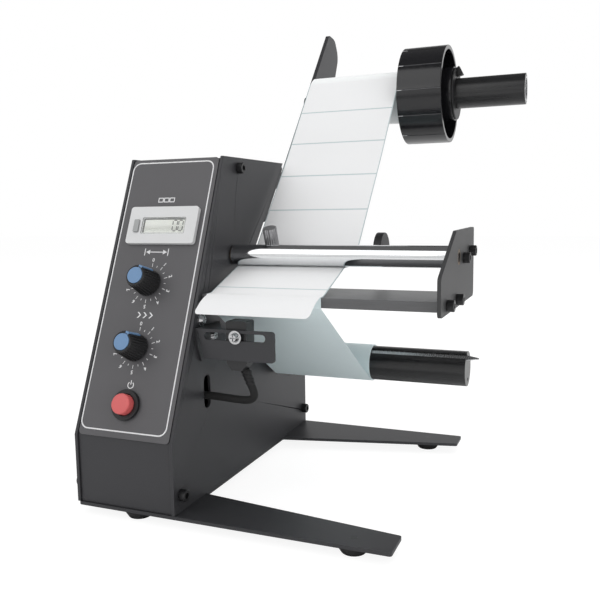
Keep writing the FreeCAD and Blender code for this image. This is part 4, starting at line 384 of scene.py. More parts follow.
POWDER = Finish("black_powder_coat", (0.015, 0.015, 0.016), (0.028, 0.028, 0.03), (0.26, 0.36), 2600.0,
                bump=0.35, depth=0.00006, tone=0.3, specular=0.5)
END_PLATE_COAT = Finish("end_plate_powder_coat", (0.03, 0.031, 0.032), (0.046, 0.046, 0.048), (0.46, 0.58),
                        2600.0, bump=0.3, depth=0.00006, tone=0.25)
PANEL_INK = Finish("panel_charcoal_ink", (0.082, 0.08, 0.085), (0.108, 0.106, 0.112), (0.42, 0.5), 5200.0,
                   bump=0.12, depth=0.00002, tone=0.18, specular=0.42)
WHITE_INK = Finish("panel_white_ink", (0.74, 0.74, 0.75), (0.84, 0.84, 0.85), (0.5, 0.6), 4200.0,
                   bump=0.1, depth=0.00001, tone=0.12)
BLACK_ANODISED = Finish("black_anodised_aluminium", (0.006, 0.006, 0.007), (0.012, 0.012, 0.013),
                        (0.26, 0.36), 900.0, stretch=(0.12, 3.0, 3.0), bump=0.12, depth=0.00003, tone=0.2,
                        specular=0.6)
PEEL_COAT = Finish("peel_plate_coat", (0.1, 0.101, 0.104), (0.14, 0.141, 0.145), (0.34, 0.46), 900.0,
                   stretch=(0.08, 3.0, 3.0), bump=0.12, depth=0.00003, tone=0.2, metallic=0.3)
CHROME = Finish("polished_chrome", (0.72, 0.73, 0.74), (0.82, 0.83, 0.84), (0.05, 0.1), 700.0,
                stretch=(4.0, 0.3, 0.3), bump=0.05, depth=0.00002, tone=0.06, shine=0.04, metallic=1.0)
BRIGHT_STEEL = Finish("ground_bright_steel", (0.5, 0.5, 0.51), (0.68, 0.68, 0.69), (0.18, 0.3), 900.0,
                      stretch=(4.0, 0.4, 0.4), bump=0.12, depth=0.00003, tone=0.15, metallic=1.0)
SCREW_BLACK = Finish("black_oxide_steel", (0.012, 0.012, 0.013), (0.03, 0.03, 0.032), (0.3, 0.45), 1800.0,
                     bump=0.2, tone=0.2, metallic=0.35, specular=0.6)
BRONZE = Finish("sintered_bronze", (0.12, 0.08, 0.045), (0.2, 0.135, 0.07), (0.35, 0.5), 2400.0,
                bump=0.3, metallic=1.0)
KNURLED_GREY = Finish("knurled_grey_steel", (0.3, 0.3, 0.31), (0.62, 0.62, 0.63), (0.3, 0.42), 2400.0,
                      stretch=(1.0, 1.0, 0.1), bump=0.3, depth=0.00006, tone=0.05, metallic=0.8)
GEAR_STEEL = Finish("machined_gear_steel", (0.36, 0.36, 0.37), (0.52, 0.52, 0.54), (0.25, 0.38), 1200.0,
                    stretch=(0.3, 2.0, 2.0), bump=0.15, metallic=1.0)
ZINC = Finish("zinc_plated_case", (0.38, 0.39, 0.4), (0.56, 0.57, 0.59), (0.28, 0.42), 600.0,
              bump=0.1, tone=0.3, metallic=1.0)
GLOSS_BLACK = Finish("gloss_black_moulding", (0.006, 0.006, 0.007), (0.011, 0.011, 0.013), (0.12, 0.2),
                     500.0, bump=0.04, depth=0.00003, tone=0.2, shine=0.05, specular=0.55)
MATT_BLACK = Finish("matt_black_moulding", (0.008, 0.008, 0.009), (0.017, 0.017, 0.018), (0.4, 0.52), 3400.0,
                    bump=0.3, depth=0.00004, tone=0.2, specular=0.45)
BLACK_INK = Finish("sensor_black_moulding", (0.014, 0.014, 0.015), (0.024, 0.024, 0.026), (0.34, 0.46), 3400.0,
                   bump=0.25, depth=0.00004, tone=0.2, specular=0.5)
PALE_GREY = Finish("pale_grey_moulding", (0.61, 0.615, 0.62), (0.68, 0.685, 0.69), (0.3, 0.4), 3000.0,
                   bump=0.15, depth=0.00002, tone=0.08)
# Painted light: the display's face glows a little by emission, though it has no lamp in it.
LCD_FACE = Finish("liquid_crystal_face", (0.8, 0.81, 0.77), (0.85, 0.86, 0.82), (0.25, 0.32), 2400.0,
                  bump=0.05, depth=0.00001, tone=0.05, glow=0.12)
# Dark digit colour; also used for the painted shade strips along the display's top and left edges.
LCD_DIGIT_AND_SHADE = Finish("liquid_crystal_digit_and_painted_shade", (0.1, 0.105, 0.1), (0.14, 0.145, 0.14), (0.35, 0.45), 2400.0,
                   bump=0.05, depth=0.00001)
# Painted highlight: light grey lines laid in the black hub's grooves stand in for light caught along its
# moulding lines.
HUB_GROOVE_HIGHLIGHT = Finish("hub_groove_painted_highlight", (0.09, 0.09, 0.095), (0.13, 0.13, 0.137), (0.14, 0.22), 500.0,
                    bump=0.04, depth=0.00002)
# Painted glint: brighter short lines at the inner ends of the hub's grooves stand in for glints of light.
HUB_LINE_END_GLINT = Finish("hub_line_end_painted_glint", (0.5, 0.5, 0.51), (0.62, 0.62, 0.63), (0.2, 0.3), 500.0,
                     bump=0.04, depth=0.00002)
WINDOW = Finish("clear_window", (0.95, 0.96, 0.95), (0.97, 0.98, 0.97), (0.02, 0.04), 300.0, bump=0.0,
                tone=0.0, shine=0.0, glass=1.0)
KEY_GREY = Finish("grey_key", (0.3, 0.31, 0.31), (0.36, 0.37, 0.37), (0.4, 0.5), 3000.0, bump=0.2)
CAP_BLUE = Finish("light_blue_moulding", (0.115, 0.225, 0.4), (0.145, 0.27, 0.46), (0.34, 0.44), 2600.0,
                  bump=0.12, depth=0.00002, tone=0.1)
RED_CAP = Finish("red_moulding", (0.6, 0.1, 0.1), (0.68, 0.13, 0.13), (0.35, 0.45), 2600.0, bump=0.1,
                 depth=0.00002, tone=0.1)
SPRING_STEEL = Finish("spring_wire", (0.5, 0.5, 0.5), (0.65, 0.65, 0.65), (0.2, 0.3), 2000.0, metallic=1.0)
BLACK_RUBBER = Finish("black_rubber", (0.01, 0.01, 0.0105), (0.02, 0.02, 0.021), (0.55, 0.7), 2200.0,
                      bump=0.35, tone=0.25, specular=0.35)
CABLE_JACKET = Finish("cable_jacket", (0.011, 0.011, 0.012), (0.02, 0.02, 0.022), (0.42, 0.55), 2600.0,
                      bump=0.3, tone=0.2, specular=0.4)
LABEL_WHITE = Finish("white_label_paper", (0.8, 0.805, 0.812), (0.845, 0.85, 0.856), (0.42, 0.52), 1600.0,
                     bump=0.12, depth=0.00002, tone=0.03)
# The web's blue-green liner paper, about 40 % darker than the liner's own: its real colour with painted shade
# over it, seen in the gaps between the labels.
WEB_PAPER_SHADE = Finish("web_liner_paper_painted_shade", (0.46, 0.54, 0.555), (0.52, 0.6, 0.615), (0.34, 0.44), 1300.0,
                   bump=0.12, depth=0.00002, tone=0.06)
LINER_PAPER = Finish("blue_green_liner_paper", (0.76, 0.88, 0.9), (0.8, 0.91, 0.93), (0.34, 0.44), 1300.0,
                     bump=0.12, depth=0.00002, tone=0.06)
BOARD_GREEN = Finish("circuit_board_lacquer", (0.01, 0.1, 0.04), (0.02, 0.15, 0.06), (0.3, 0.4), 700.0,
                     bump=0.1)
SUPPLY_CASE = Finish("plated_case", (0.45, 0.45, 0.46), (0.6, 0.6, 0.61), (0.3, 0.42), 800.0,
                     stretch=(0.2, 2.0, 2.0), metallic=1.0)
END_RING = Finish("bright_end_ring", (0.55, 0.55, 0.56), (0.7, 0.7, 0.71), (0.2, 0.3), 1000.0,
                  stretch=(3.0, 0.5, 0.5), metallic=1.0, bump=0.1)


# Geometry Nodes trees

class GeometryTree:
    """Geometry Nodes tree with named inputs, built step by step."""

    def __init__(self, name: str, inputs: dict[str, str]) -> None:
        """Starts the tree.

        Args:
            name: Name of the tree.
            inputs: Socket type of each named input.
        """
        self.tree = bpy.data.node_groups.new(name, "GeometryNodeTree")
        self.tree.interface.new_socket("Geometry", in_out="INPUT", socket_type="NodeSocketGeometry")
        self.sockets = {}
        for socket, kind in inputs.items():
            made = self.tree.interface.new_socket(socket, in_out="INPUT", socket_type=kind)
            self.sockets[socket] = made.identifier
        self.tree.interface.new_socket("Geometry", in_out="OUTPUT", socket_type="NodeSocketGeometry")
        self.given = self.tree.nodes.new("NodeGroupInput")
        self.result = self.tree.nodes.new("NodeGroupOutput")

    def add(self, kind: str, **settings) -> bpy.types.Node:
        """Adds a node and sets its properties."""
        node = self.tree.nodes.new(kind)
        for name, value in settings.items():
            setattr(node, name, value)
        return node

    def join(self, start, end) -> None:
        """Links two sockets."""
        self.tree.links.new(start, end)

    def maths(self, operation: str, first, second=None) -> bpy.types.NodeSocket:
        """Adds a maths node.

        Args:
            operation: Name of the operation.
            first: Socket or number of the first value.
            second: Socket or number of the second value, if it has one.

        Returns:
            The socket of the result.
        """
        node = self.add("ShaderNodeMath", operation=operation)
        for slot, value in enumerate((first, second)):
            if isinstance(value, (int, float)):
                node.inputs[slot].default_value = value
            elif value is not None:
                self.join(value, node.inputs[slot])
        return node.outputs[0]

    def end(self, geometry) -> None:
        """Ends the tree in Realize Instances and Set Material."""
        real = self.add("GeometryNodeRealizeInstances")
        paint = self.add("GeometryNodeSetMaterial")
        self.join(geometry, real.inputs["Geometry"])
        self.join(real.outputs["Geometry"], paint.inputs["Geometry"])
        self.join(self.given.outputs["Material"], paint.inputs["Material"])
        self.join(paint.outputs["Geometry"], self.result.inputs[0])


class Trees:
    """The Geometry Nodes trees that the pieces use."""

    def __init__(self) -> None:
        """Builds every tree once."""
        self.ring = self._ring()
        self.border = self._border()
        self.tidy = self._tidy()

    @staticmethod
    def _ring() -> GeometryTree:
        """Copies of a shape set round the local Z axis."""
        tree = GeometryTree("copies_round_an_axis", {
            "Shape": "NodeSocketObject", "Count": "NodeSocketInt", "First Angle": "NodeSocketFloat",
            "Step Angle": "NodeSocketFloat", "Radius": "NodeSocketFloat", "Material": "NodeSocketMaterial"})
        points = tree.add("GeometryNodePoints")
        tree.join(tree.given.outputs["Count"], points.inputs["Count"])
        index = tree.add("GeometryNodeInputIndex")
        step = tree.maths("MULTIPLY", index.outputs[0], tree.given.outputs["Step Angle"])
        angle = tree.maths("ADD", step, tree.given.outputs["First Angle"])
        place = tree.add("ShaderNodeCombineXYZ")
        tree.join(tree.maths("MULTIPLY", tree.maths("SINE", angle), tree.given.outputs["Radius"]),
                  place.inputs["X"])
        tree.join(tree.maths("MULTIPLY", tree.maths("COSINE", angle), tree.given.outputs["Radius"]),
                  place.inputs["Y"])
        move = tree.add("GeometryNodeSetPosition")
        tree.join(points.outputs[0], move.inputs["Geometry"])
        tree.join(place.outputs[0], move.inputs["Position"])
        turn = tree.add("ShaderNodeCombineXYZ")
        tree.join(tree.maths("MULTIPLY", angle, -1.0), turn.inputs["Z"])
        shape = tree.add("GeometryNodeObjectInfo", transform_space="ORIGINAL")
        shape.inputs["As Instance"].default_value = True
        tree.join(tree.given.outputs["Shape"], shape.inputs["Object"])
        copies = tree.add("GeometryNodeInstanceOnPoints")
        tree.join(move.outputs["Geometry"], copies.inputs["Points"])
        tree.join(shape.outputs["Geometry"], copies.inputs["Instance"])
        tree.join(turn.outputs[0], copies.inputs["Rotation"])
        tree.end(copies.outputs["Instances"])
        return tree

    @staticmethod
    def _border() -> GeometryTree:
        """Flat line round a rectangle with rounded corners."""
        tree = GeometryTree("rounded_border", {
            "Width": "NodeSocketFloat", "Height": "NodeSocketFloat", "Corner": "NodeSocketFloat",
            "Line": "NodeSocketFloat", "Thickness": "NodeSocketFloat", "Material": "NodeSocketMaterial"})
        path = tree.add("GeometryNodeCurvePrimitiveQuadrilateral")
        tree.join(tree.given.outputs["Width"], path.inputs["Width"])
        tree.join(tree.given.outputs["Height"], path.inputs["Height"])
        rounded = tree.add("GeometryNodeFilletCurve")
        if hasattr(rounded, "mode"):
            rounded.mode = "POLY"
        rounded.inputs["Count"].default_value = 10
        tree.join(path.outputs[0], rounded.inputs["Curve"])
        tree.join(tree.given.outputs["Corner"], rounded.inputs["Radius"])
        section = tree.add("GeometryNodeCurvePrimitiveQuadrilateral")
        tree.join(tree.given.outputs["Line"], section.inputs["Width"])
        tree.join(tree.given.outputs["Thickness"], section.inputs["Height"])
        sweep = tree.add("GeometryNodeCurveToMesh")
        tree.join(rounded.outputs[0], sweep.inputs["Curve"])
        tree.join(section.outputs[0], sweep.inputs["Profile Curve"])
        tree.end(sweep.outputs[0])
        return tree

    @staticmethod
    def _tidy() -> GeometryTree:
        """Merges loose triangles and shades the curved faces smooth."""
        tree = GeometryTree("merge_and_smooth", {"Angle": "NodeSocketFloat", "Material": "NodeSocketMaterial"})
        clear = tree.add("GeometryNodeRemoveAttribute")
        clear.inputs["Name"].default_value = "custom_normal"
        tree.join(tree.given.outputs[0], clear.inputs["Geometry"])
        merge = tree.add("GeometryNodeMergeByDistance")
        merge.inputs["Distance"].default_value = 2e-6
        tree.join(clear.outputs["Geometry"], merge.inputs["Geometry"])
        faces = tree.add("GeometryNodeSetShadeSmooth", domain="FACE")
        tree.join(merge.outputs["Geometry"], faces.inputs["Geometry"])
        angle = tree.add("GeometryNodeInputMeshEdgeAngle")
        sharp = tree.maths("GREATER_THAN", angle.outputs["Unsigned Angle"], tree.given.outputs["Angle"])
        edges = tree.add("GeometryNodeSetShadeSmooth", domain="EDGE")
        edges.inputs["Shade Smooth"].default_value = False
        tree.join(faces.outputs["Geometry"], edges.inputs["Geometry"])
        tree.join(sharp, edges.inputs["Selection"])
        tree.end(edges.outputs["Geometry"])
        return tree


def apply_tree(target: bpy.types.Object, tree: GeometryTree, values: dict) -> bpy.types.Modifier:
    """Adds a tree to an object as a modifier.

    Args:
        target: Object that gets the modifier.
        tree: The tree.
        values: Value of each named input.

    Returns:
        The modifier.
    """
    modifier = target.modifiers.new(tree.tree.name, "NODES")
    modifier.node_group = tree.tree
    for name, value in values.items():
        modifier[tree.sockets[name]] = value
    return modifier


def make_object(name: str, mesh: bpy.types.Mesh) -> bpy.types.Object:
    """Links a mesh into the scene as an object at the origin."""
    made = bpy.data.objects.new(name, mesh)
    bpy.context.scene.collection.objects.link(made)
    return made


def plain_mesh(source: bpy.types.Object, name: str, matrix: Matrix) -> bpy.types.Object:
    """Turns an evaluated object into a plain mesh that is already in its place.

    Args:
        source: Object with live modifiers, text or a curve. It is removed.
        name: Name of the new piece.
        matrix: Place of the piece in the row frame.

    Returns:
        The new object, at the origin.
    """
    graph = bpy.context.evaluated_depsgraph_get()
    mesh = bpy.data.meshes.new_from_object(source.evaluated_get(graph), depsgraph=graph)
    mesh.transform(matrix)
    mesh.name = name
    bpy.data.objects.remove(source)
    return make_object(name, mesh)


def join_pieces(name: str, pieces: Sequence[bpy.types.Object]) -> bpy.types.Object:
    """Joins meshes that already lie in the row frame into one piece.

    Args:
        name: Name of the joined piece.
        pieces: Objects at the origin. They are removed.

    Returns:
        The joined object.
    """
    joined = bmesh.new()
    materials: list[bpy.types.Material] = []
    for piece in pieces:
        start = len(joined.faces)
        joined.from_mesh(piece.data)
        joined.faces.ensure_lookup_table()
        own = [slot for slot in piece.data.materials if slot is not None]
        for face in joined.faces[start:]:
            material = own[min(face.material_index, len(own) - 1)]
            if material not in materials:
                materials.append(material)
            face.material_index = materials.index(material)
        old = piece.data
        bpy.data.objects.remove(piece)
        bpy.data.meshes.remove(old)
    mesh = bpy.data.meshes.new(name)
    joined.to_mesh(mesh)
    joined.free()
    for material in materials:
        mesh.materials.append(material)
    return make_object(name, mesh)


def face_out(mesh: bpy.types.Mesh) -> None:
    """Merges doubled points and turns every face outwards."""
    work = bmesh.new()
    work.from_mesh(mesh)
    bmesh.ops.remove_doubles(work, verts=work.verts, dist=1e-7)
    bmesh.ops.recalc_face_normals(work, faces=work.faces)
    work.to_mesh(mesh)
    work.free()


def shade_by_angle(mesh: bpy.types.Mesh, degrees: float = 32.0) -> None:
    """Shades a mesh smooth except over edges sharper than an angle."""
    mesh.polygons.foreach_set("use_smooth", [True] * len(mesh.polygons))
    mesh.set_sharp_from_angle(angle=math.radians(degrees))


def lathe(profile: Sequence[tuple[float, float]], steps: int) -> bpy.types.Mesh:
    """Turns a profile round the local Z axis.

    Args:
        profile: Radius and height of each point, in mm, from the axis out and back to it.
        steps: Number of faces round the axis.

    Returns:
        The mesh in metres, closed where the profile meets the axis.
    """
    work = bmesh.new()
    rings = []
    for radius, height in profile:
        if radius < 1e-6:
            rings.append([work.verts.new((0.0, 0.0, height * MM))])
            continue
        rings.append([work.verts.new((radius * MM * math.cos(2 * math.pi * step / steps),
                                      radius * MM * math.sin(2 * math.pi * step / steps), height * MM))
                      for step in range(steps)])
    for low, high in zip(rings, rings[1:]):
        for step in range(steps):
            after = (step + 1) % steps
            corners = [low[step % len(low)], low[after % len(low)], high[after % len(high)],
                       high[step % len(high)]]
            corners = list(dict.fromkeys(corners))
            if len(corners) > 2:
                work.faces.new(corners)
    bmesh.ops.recalc_face_normals(work, faces=work.faces)
    mesh = bpy.data.meshes.new("turned")
    work.to_mesh(mesh)
    work.free()
    return mesh


def extrude_shape(corners: Sequence[tuple[float, float]], low: float, high: float) -> bpy.types.Mesh:
    """Makes a prism from a flat outline.

    Args:
        corners: Outline points in mm, in order.
        low: Height of the lower face in mm.
        high: Height of the upper face in mm.

    Returns:
        The closed mesh in metres.
    """
    work = bmesh.new()
    base = [work.verts.new((x * MM, y * MM, low * MM)) for x, y in corners]
    top = [work.verts.new((x * MM, y * MM, high * MM)) for x, y in corners]
    work.faces.new(list(reversed(base)))
    work.faces.new(top)
    for here in range(len(corners)):
        after = (here + 1) % len(corners)
        work.faces.new((base[here], base[after], top[after], top[here]))
    bmesh.ops.recalc_face_normals(work, faces=work.faces)
    mesh = bpy.data.meshes.new("prism")
    work.to_mesh(mesh)
    work.free()
    return mesh


@dataclass
class Workshop:
    """What every sub-assembly needs: the places, the shared shader groups and the trees."""

    datum: Datum
    panel: PanelPlane
    groups: ShaderGroups
    trees: Trees
    count: int = 0

    def paint(self, piece: bpy.types.Object, finish: Finish) -> None:
        """Gives a whole piece one finish."""
        piece.data.materials.clear()
        piece.data.materials.append(finish.material(self.groups))

    def dress(self, node: str, finish: Finish, edge: float = 0.0, smooth: float = 30.0) -> bpy.types.Object:
        """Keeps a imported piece: merges it, breaks its edges and gives it its finish.

        Args:
            node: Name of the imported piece.
            finish: The finish.
            edge: Width of the broken edges in mm, or 0 for none.
            smooth: Largest angle, in degrees, that is shaded smooth.

        Returns:
            The piece's object.
        """
        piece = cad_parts[node]
        material = finish.material(self.groups)
        if piece.material_slots:
            for slot in piece.material_slots:
                slot.link = "OBJECT"
                slot.material = material
        else:
            piece.data.materials.append(material)
        apply_tree(piece, self.trees.tidy, {"Angle": math.radians(smooth), "Material": material})
        if edge > 0:
            bevel = piece.modifiers.new("broken_edges", "BEVEL")
            bevel.width = edge * MM
            bevel.segments = 2
            bevel.limit_method = "ANGLE"
            bevel.angle_limit = math.radians(42.0)
            bevel.use_clamp_overlap = True
            bevel.harden_normals = True
        self.report(piece, "kept")
        return piece

    def place(self, piece: bpy.types.Object, body: str, slot: str, nodes: Iterable[str] = ()) -> None:
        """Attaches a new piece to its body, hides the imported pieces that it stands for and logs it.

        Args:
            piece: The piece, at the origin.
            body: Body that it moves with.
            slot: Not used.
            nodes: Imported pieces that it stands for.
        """
        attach(piece, body)
        names = tuple(nodes)
        if names:
            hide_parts(*names)
        self.report(piece, "made")

    def report(self, piece: bpy.types.Object, how: str) -> None:
        """Logs one piece."""
        self.count += 1
        LOG.info("%02d %s %s", self.count, how, piece.name)

    def ring_of(self, name: str, shape: bpy.types.Mesh, count: int, first: float, step: float, radius: float,
                finish: Finish, matrix: Matrix) -> bpy.types.Object:
        """Sets copies of a shape round an axis with Geometry Nodes.

        Args:
            name: Name of the result.
            shape: Mesh of one copy.
            count: Number of copies.
            first: Angle of the first copy in radians, clockwise from the local Y axis.
            step: Angle from one copy to the next in radians.
            radius: Distance of the copies from the axis in mm.
            finish: The finish.
            matrix: Place of the axis in the row frame.

        Returns:
            A plain mesh object at the origin.
        """
        pattern = make_object(name + "_pattern", shape)
        holder = make_object(name + "_holder", bpy.data.meshes.new(name + "_holder"))
        apply_tree(holder, self.trees.ring, {
            "Shape": pattern, "Count": count, "First Angle": first, "Step Angle": step,
            "Radius": radius * MM, "Material": finish.material(self.groups)})
        made = plain_mesh(holder, name, matrix)
        bpy.data.objects.remove(pattern)
        return made


@dataclass
class Housing:
    """Sheet metal case, its feet and its screws."""

    shop: Workshop
    edge: float = 0.3
    plates: tuple[str, ...] = ("base_plate", "right_side_plate", "left_side_plate", "front_cover",
                               "rear_cover", "support_arm", "sensor_bracket")

    def build(self) -> None:
        """Dresses the case's pieces."""
        for node in self.plates:
            self.shop.dress(node, POWDER, self.edge)
        self.shop.dress("end_plate", END_PLATE_COAT, self.edge)
        self.shop.dress("rubber_feet", BLACK_RUBBER, 0.4)
        self.shop.dress("socket_screws", SCREW_BLACK, 0.25)
        self.shop.dress("pan_head_screws", SCREW_BLACK, 0.15)
        self.shop.dress("bracket_screws", BRIGHT_STEEL, 0.15)
        self.shop.dress("tie_rods", BRIGHT_STEEL, 0.2)


@dataclass
class ControlPanel:
    """Printed panel with the counter, two dials and the push button."""

    shop: Workshop
    border_left: float = -63.5
    border_right: float = -5.5
    border_low: float = 4.5
    border_high: float = 173.2
    border_corner: float = 5.0
    line: float = 0.8
    ink: float = 0.04
    dial_u: float = -35.5
    dials: tuple[tuple[str, float], ...] = (("length", 93.6), ("speed", 53.7))
    pointer_deg: float = 25.0
    digit_radius: float = 14.6
    digit_size: float = 3.1
    tick_radius: float = 11.4
    long_tick: float = 2.2
    short_tick: float = 1.2
    tick_width: float = 0.32
    digit_step_deg: float = 36.0
    digits: int = 8
    knob_radius: float = 8.5
    knob_top: float = 6.6
    knob_height: float = 15.5
    knob_gap: float = 0.5
    flutes: int = 28
    counter_u: float = -31.8
    counter_v: float = 129.8
    display_depth: float = 2.2
    counter_digits: int = 2
    last_digit: float = 12.0
    seven_height: float = 6.8
    seven_width: float = 3.0
    seven_pitch: float = 4.0
    display_half: tuple[float, float] = (14.5, 4.5)
    shade_left: float = 1.0
    shade_top: float = 0.6
    spring_foot: float = -18.0
    spring_keep: float = 11.0 / 14.0
    button_u: float = -34.5
    button_v: float = 19.7

    def build(self) -> None:
        """Makes the print, the knobs and the digits, and dresses the rest."""
        shop = self.shop
        shop.dress("control_panel", PANEL_INK, 0.1)
        shop.dress("counter_housing", PALE_GREY, 0.35)
        shop.dress("counter_window", WINDOW)
        shop.dress("counter_display", LCD_FACE)
        shop.dress("counter_reset_button", KEY_GREY, 0.3)
        shop.dress("potentiometers", ZINC, 0.15)
        shop.dress("power_button_bezel", MATT_BLACK, 0.5)
        shop.dress("power_button_cap", RED_CAP, 0.2)
        spring = shop.dress("power_button_spring", SPRING_STEEL)
        seat = shop.panel.frame_at(self.button_u, self.button_v)
        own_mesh(spring)
        shop.dress("power_switch", MATT_BLACK, 0.2)
        for name, _ in self.dials:
            shop.dress(f"{name}_knob_cap", CAP_BLUE, 0.12)
        self.print_panel()
        for name, v in self.dials:
            self.knob(name, v)
        self.counter_reading()

    def flat(self, name: str, corners: Sequence[tuple[float, float]], u: float, v: float,
             turn: float = 0.0) -> bpy.types.Object:
        """Prints one flat shape on the panel.

        Args:
            name: Name of the shape.
            corners: Its outline in mm.
            u: Place across the panel in mm.
            v: Place up the panel in mm.
            turn: Clockwise turn in radians.

        Returns:
            The thin shape in its place.
        """
        made = make_object(name, extrude_shape(corners, 0.0, self.ink))
        made.data.transform(self.shop.panel.frame_at(u, v, 0.0, turn))
        self.shop.paint(made, WHITE_INK)
        return made

    def stroke(self, name: str, start: tuple[float, float], end: tuple[float, float], width: float,
               u: float, v: float) -> bpy.types.Object:
        """Prints one straight stroke between two points round a place on the panel."""
        way = Vector((end[0] - start[0], end[1] - start[1])).normalized() * width / 2
        corners = [(start[0] - way.x + way.y, start[1] - way.y - way.x),
                   (start[0] - way.x - way.y, start[1] - way.y + way.x),
                   (end[0] + way.x - way.y, end[1] + way.y + way.x),
                   (end[0] + way.x + way.y, end[1] + way.y - way.x)]
        return self.flat(name, corners, u, v)

    def ring(self, name: str, radius: float, width: float, first: float, last: float, u: float,
             v: float) -> bpy.types.Object:
        """Prints part of a ring between two angles in radians, clockwise from the top."""
        steps = 28
        angles = [first + (last - first) * step / steps for step in range(steps + 1)]
        outer = [((radius + width / 2) * math.sin(a), (radius + width / 2) * math.cos(a)) for a in angles]
        inner = [((radius - width / 2) * math.sin(a), (radius - width / 2) * math.cos(a)) for a in angles]
        return self.flat(name, outer + inner[::-1], u, v)

    def digit(self, text: str, angle: float, v: float) -> bpy.types.Object:
        """Prints one dial digit, turned so that its top faces away from the dial."""
        curve = bpy.data.curves.new("digit", "FONT")
        curve.body = text
        curve.align_x = "CENTER"
        curve.align_y = "CENTER"
        curve.size = self.digit_size * MM
        curve.extrude = self.ink / 2 * MM
        curve.offset = 0.00006
        source = bpy.data.objects.new("digit", curve)
        bpy.context.scene.collection.objects.link(source)
        place = (self.shop.panel.frame_at(self.dial_u, v, self.ink / 2, angle)
                 @ Matrix.Translation((0.0, self.digit_radius * MM, 0.0)))
        made = plain_mesh(source, "digit", place)
        self.shop.paint(made, WHITE_INK)
        return made

    def dial_marks(self, v: float) -> list[bpy.types.Object]:
        """Prints the ticks and digits round one dial."""
        step = math.radians(self.digit_step_deg)
        half = self.tick_width / 2
        frame_here = self.shop.panel.frame_at(self.dial_u, v)
        made = []
        for name, length, count, first in (("long", self.long_tick, self.digits, 0.0),
                                           ("short", self.short_tick, self.digits - 1, step / 2)):
            shape = extrude_shape([(-half, -length / 2), (half, -length / 2), (half, length / 2),
                                   (-half, length / 2)], 0.0, self.ink)
            made.append(self.shop.ring_of(f"{name}_ticks", shape, count, first, step,
                                          self.tick_radius - (self.long_tick - length) / 2, WHITE_INK,
                                          frame_here))
        made += [self.digit(str(number), number * step, v) for number in range(self.digits)]
        return made

    def signs(self) -> list[bpy.types.Object]:
        """Prints a plain sign over each control."""
        u = -34.5
        made = []
        width = 0.55
        v = 113.4
        made.append(self.stroke("length_bar", (-5.5, 0.0), (5.5, 0.0), width, u, v))
        for side in (-1, 1):
            made.append(self.flat("length_arrow", [(side * 7.4, 0.0), (side * 4.6, 1.5), (side * 4.6, -1.5)],
                                  u, v))
            made.append(self.stroke("length_stop", (side * 8.2, -2.0), (side * 8.2, 2.0), width, u, v))
        v = 73.6
        for start in (-5.0, -0.9, 3.2):
            made.append(self.flat("speed_arrow", [(start, 1.8), (start + 1.0, 1.8), (start + 2.8, 0.0),
                                                  (start + 1.0, -1.8), (start, -1.8), (start + 1.8, 0.0)],
                                  u, v))
        v = 31.5
        made.append(self.ring("power_ring", 1.9, width, math.radians(38), math.radians(322), u, v))
        made.append(self.stroke("power_bar", (0.0, 0.6), (0.0, 2.5), width, u, v))
        v = 147.6
        for start in (-5.6, -1.6, 2.4):
            made.append(self.stroke("count_top", (start, 1.3), (start + 3.2, 1.3), width, u, v))
            made.append(self.stroke("count_low", (start, -1.3), (start + 3.2, -1.3), width, u, v))
            made.append(self.stroke("count_left", (start, -1.3), (start, 1.3), width, u, v))
            made.append(self.stroke("count_right", (start + 3.2, -1.3), (start + 3.2, 1.3), width, u, v))
        return made

    def print_panel(self) -> None:
        """Prints the border, the dials and the signs as one piece."""
        shop = self.shop
        holder = make_object("border", bpy.data.meshes.new("border"))
        apply_tree(holder, shop.trees.border, {
            "Width": (self.border_right - self.border_left) * MM,
            "Height": (self.border_high - self.border_low) * MM,
            "Corner": self.border_corner * MM, "Line": self.line * MM, "Thickness": self.ink * MM,
            "Material": WHITE_INK.material(shop.groups)})
        middle = shop.panel.frame_at((self.border_left + self.border_right) / 2,
                                     (self.border_low + self.border_high) / 2, self.ink / 2)
        marks = [plain_mesh(holder, "border", middle)]
        for _, v in self.dials:
            marks += self.dial_marks(v)
        marks += self.signs()
        printed = join_pieces("panel_print", marks)
        face_out(printed.data)
        shop.place(printed, "root", "printed_panel")

    def knob(self, name: str, v: float) -> None:
        """Makes one tapered knob with fine flutes round its skirt.

        Args:
            name: Name of the dial.
            v: Place of the dial up the panel in mm.
        """
        shop = self.shop
        foot, top, height, gap = self.knob_radius, self.knob_top, self.knob_height, self.knob_gap
        slope = (foot - top) / (height - gap)
        rim = 0.7
        profile = [(0.0, gap + 4.2), (5.9, gap + 4.2), (6.0, gap), (foot - 0.9, gap), (foot - 0.5, gap + 0.3),
                   (foot - 0.45, gap + 1.6), (foot - 0.5 - slope * 3, gap + 3.0),
                   (top - 0.35, height - rim), (top - 0.55, height - rim / 3), (top - 0.95, height),
                   (5.2, height), (4.95, height - 0.35), (4.95, height - 1.2), (0.0, height - 1.2)]
        body = make_object("knob_body", lathe(profile, 72))
        body.data.transform(shop.panel.frame_at(self.dial_u, v))
        shop.paint(body, MATT_BLACK)
        flute = [(-0.42, -0.5), (0.42, -0.5), (0.3, 0.22), (0.0, 0.4), (-0.3, 0.22)]
        work = bmesh.new()
        rings = []
        for z, lean in ((gap + 0.5, 0.0), (height - 1.2, -slope * (height - 1.7 - gap)), (height - 0.7, -slope * 14.2 - 0.45)):
            rings.append([work.verts.new((x * MM, (y + lean) * MM, z * MM)) for x, y in flute])
        for low, high in zip(rings, rings[1:]):
            for side in range(len(flute)):
                after = (side + 1) % len(flute)
                work.faces.new((low[side], low[after], high[after], high[side]))
        work.faces.new(rings[0])
        work.faces.new(rings[-1])
        bmesh.ops.recalc_face_normals(work, faces=work.faces)
        shape = bpy.data.meshes.new("flute")
        work.to_mesh(shape)
        work.free()
        pointer = math.radians(self.pointer_deg)
        step = 2 * math.pi / self.flutes
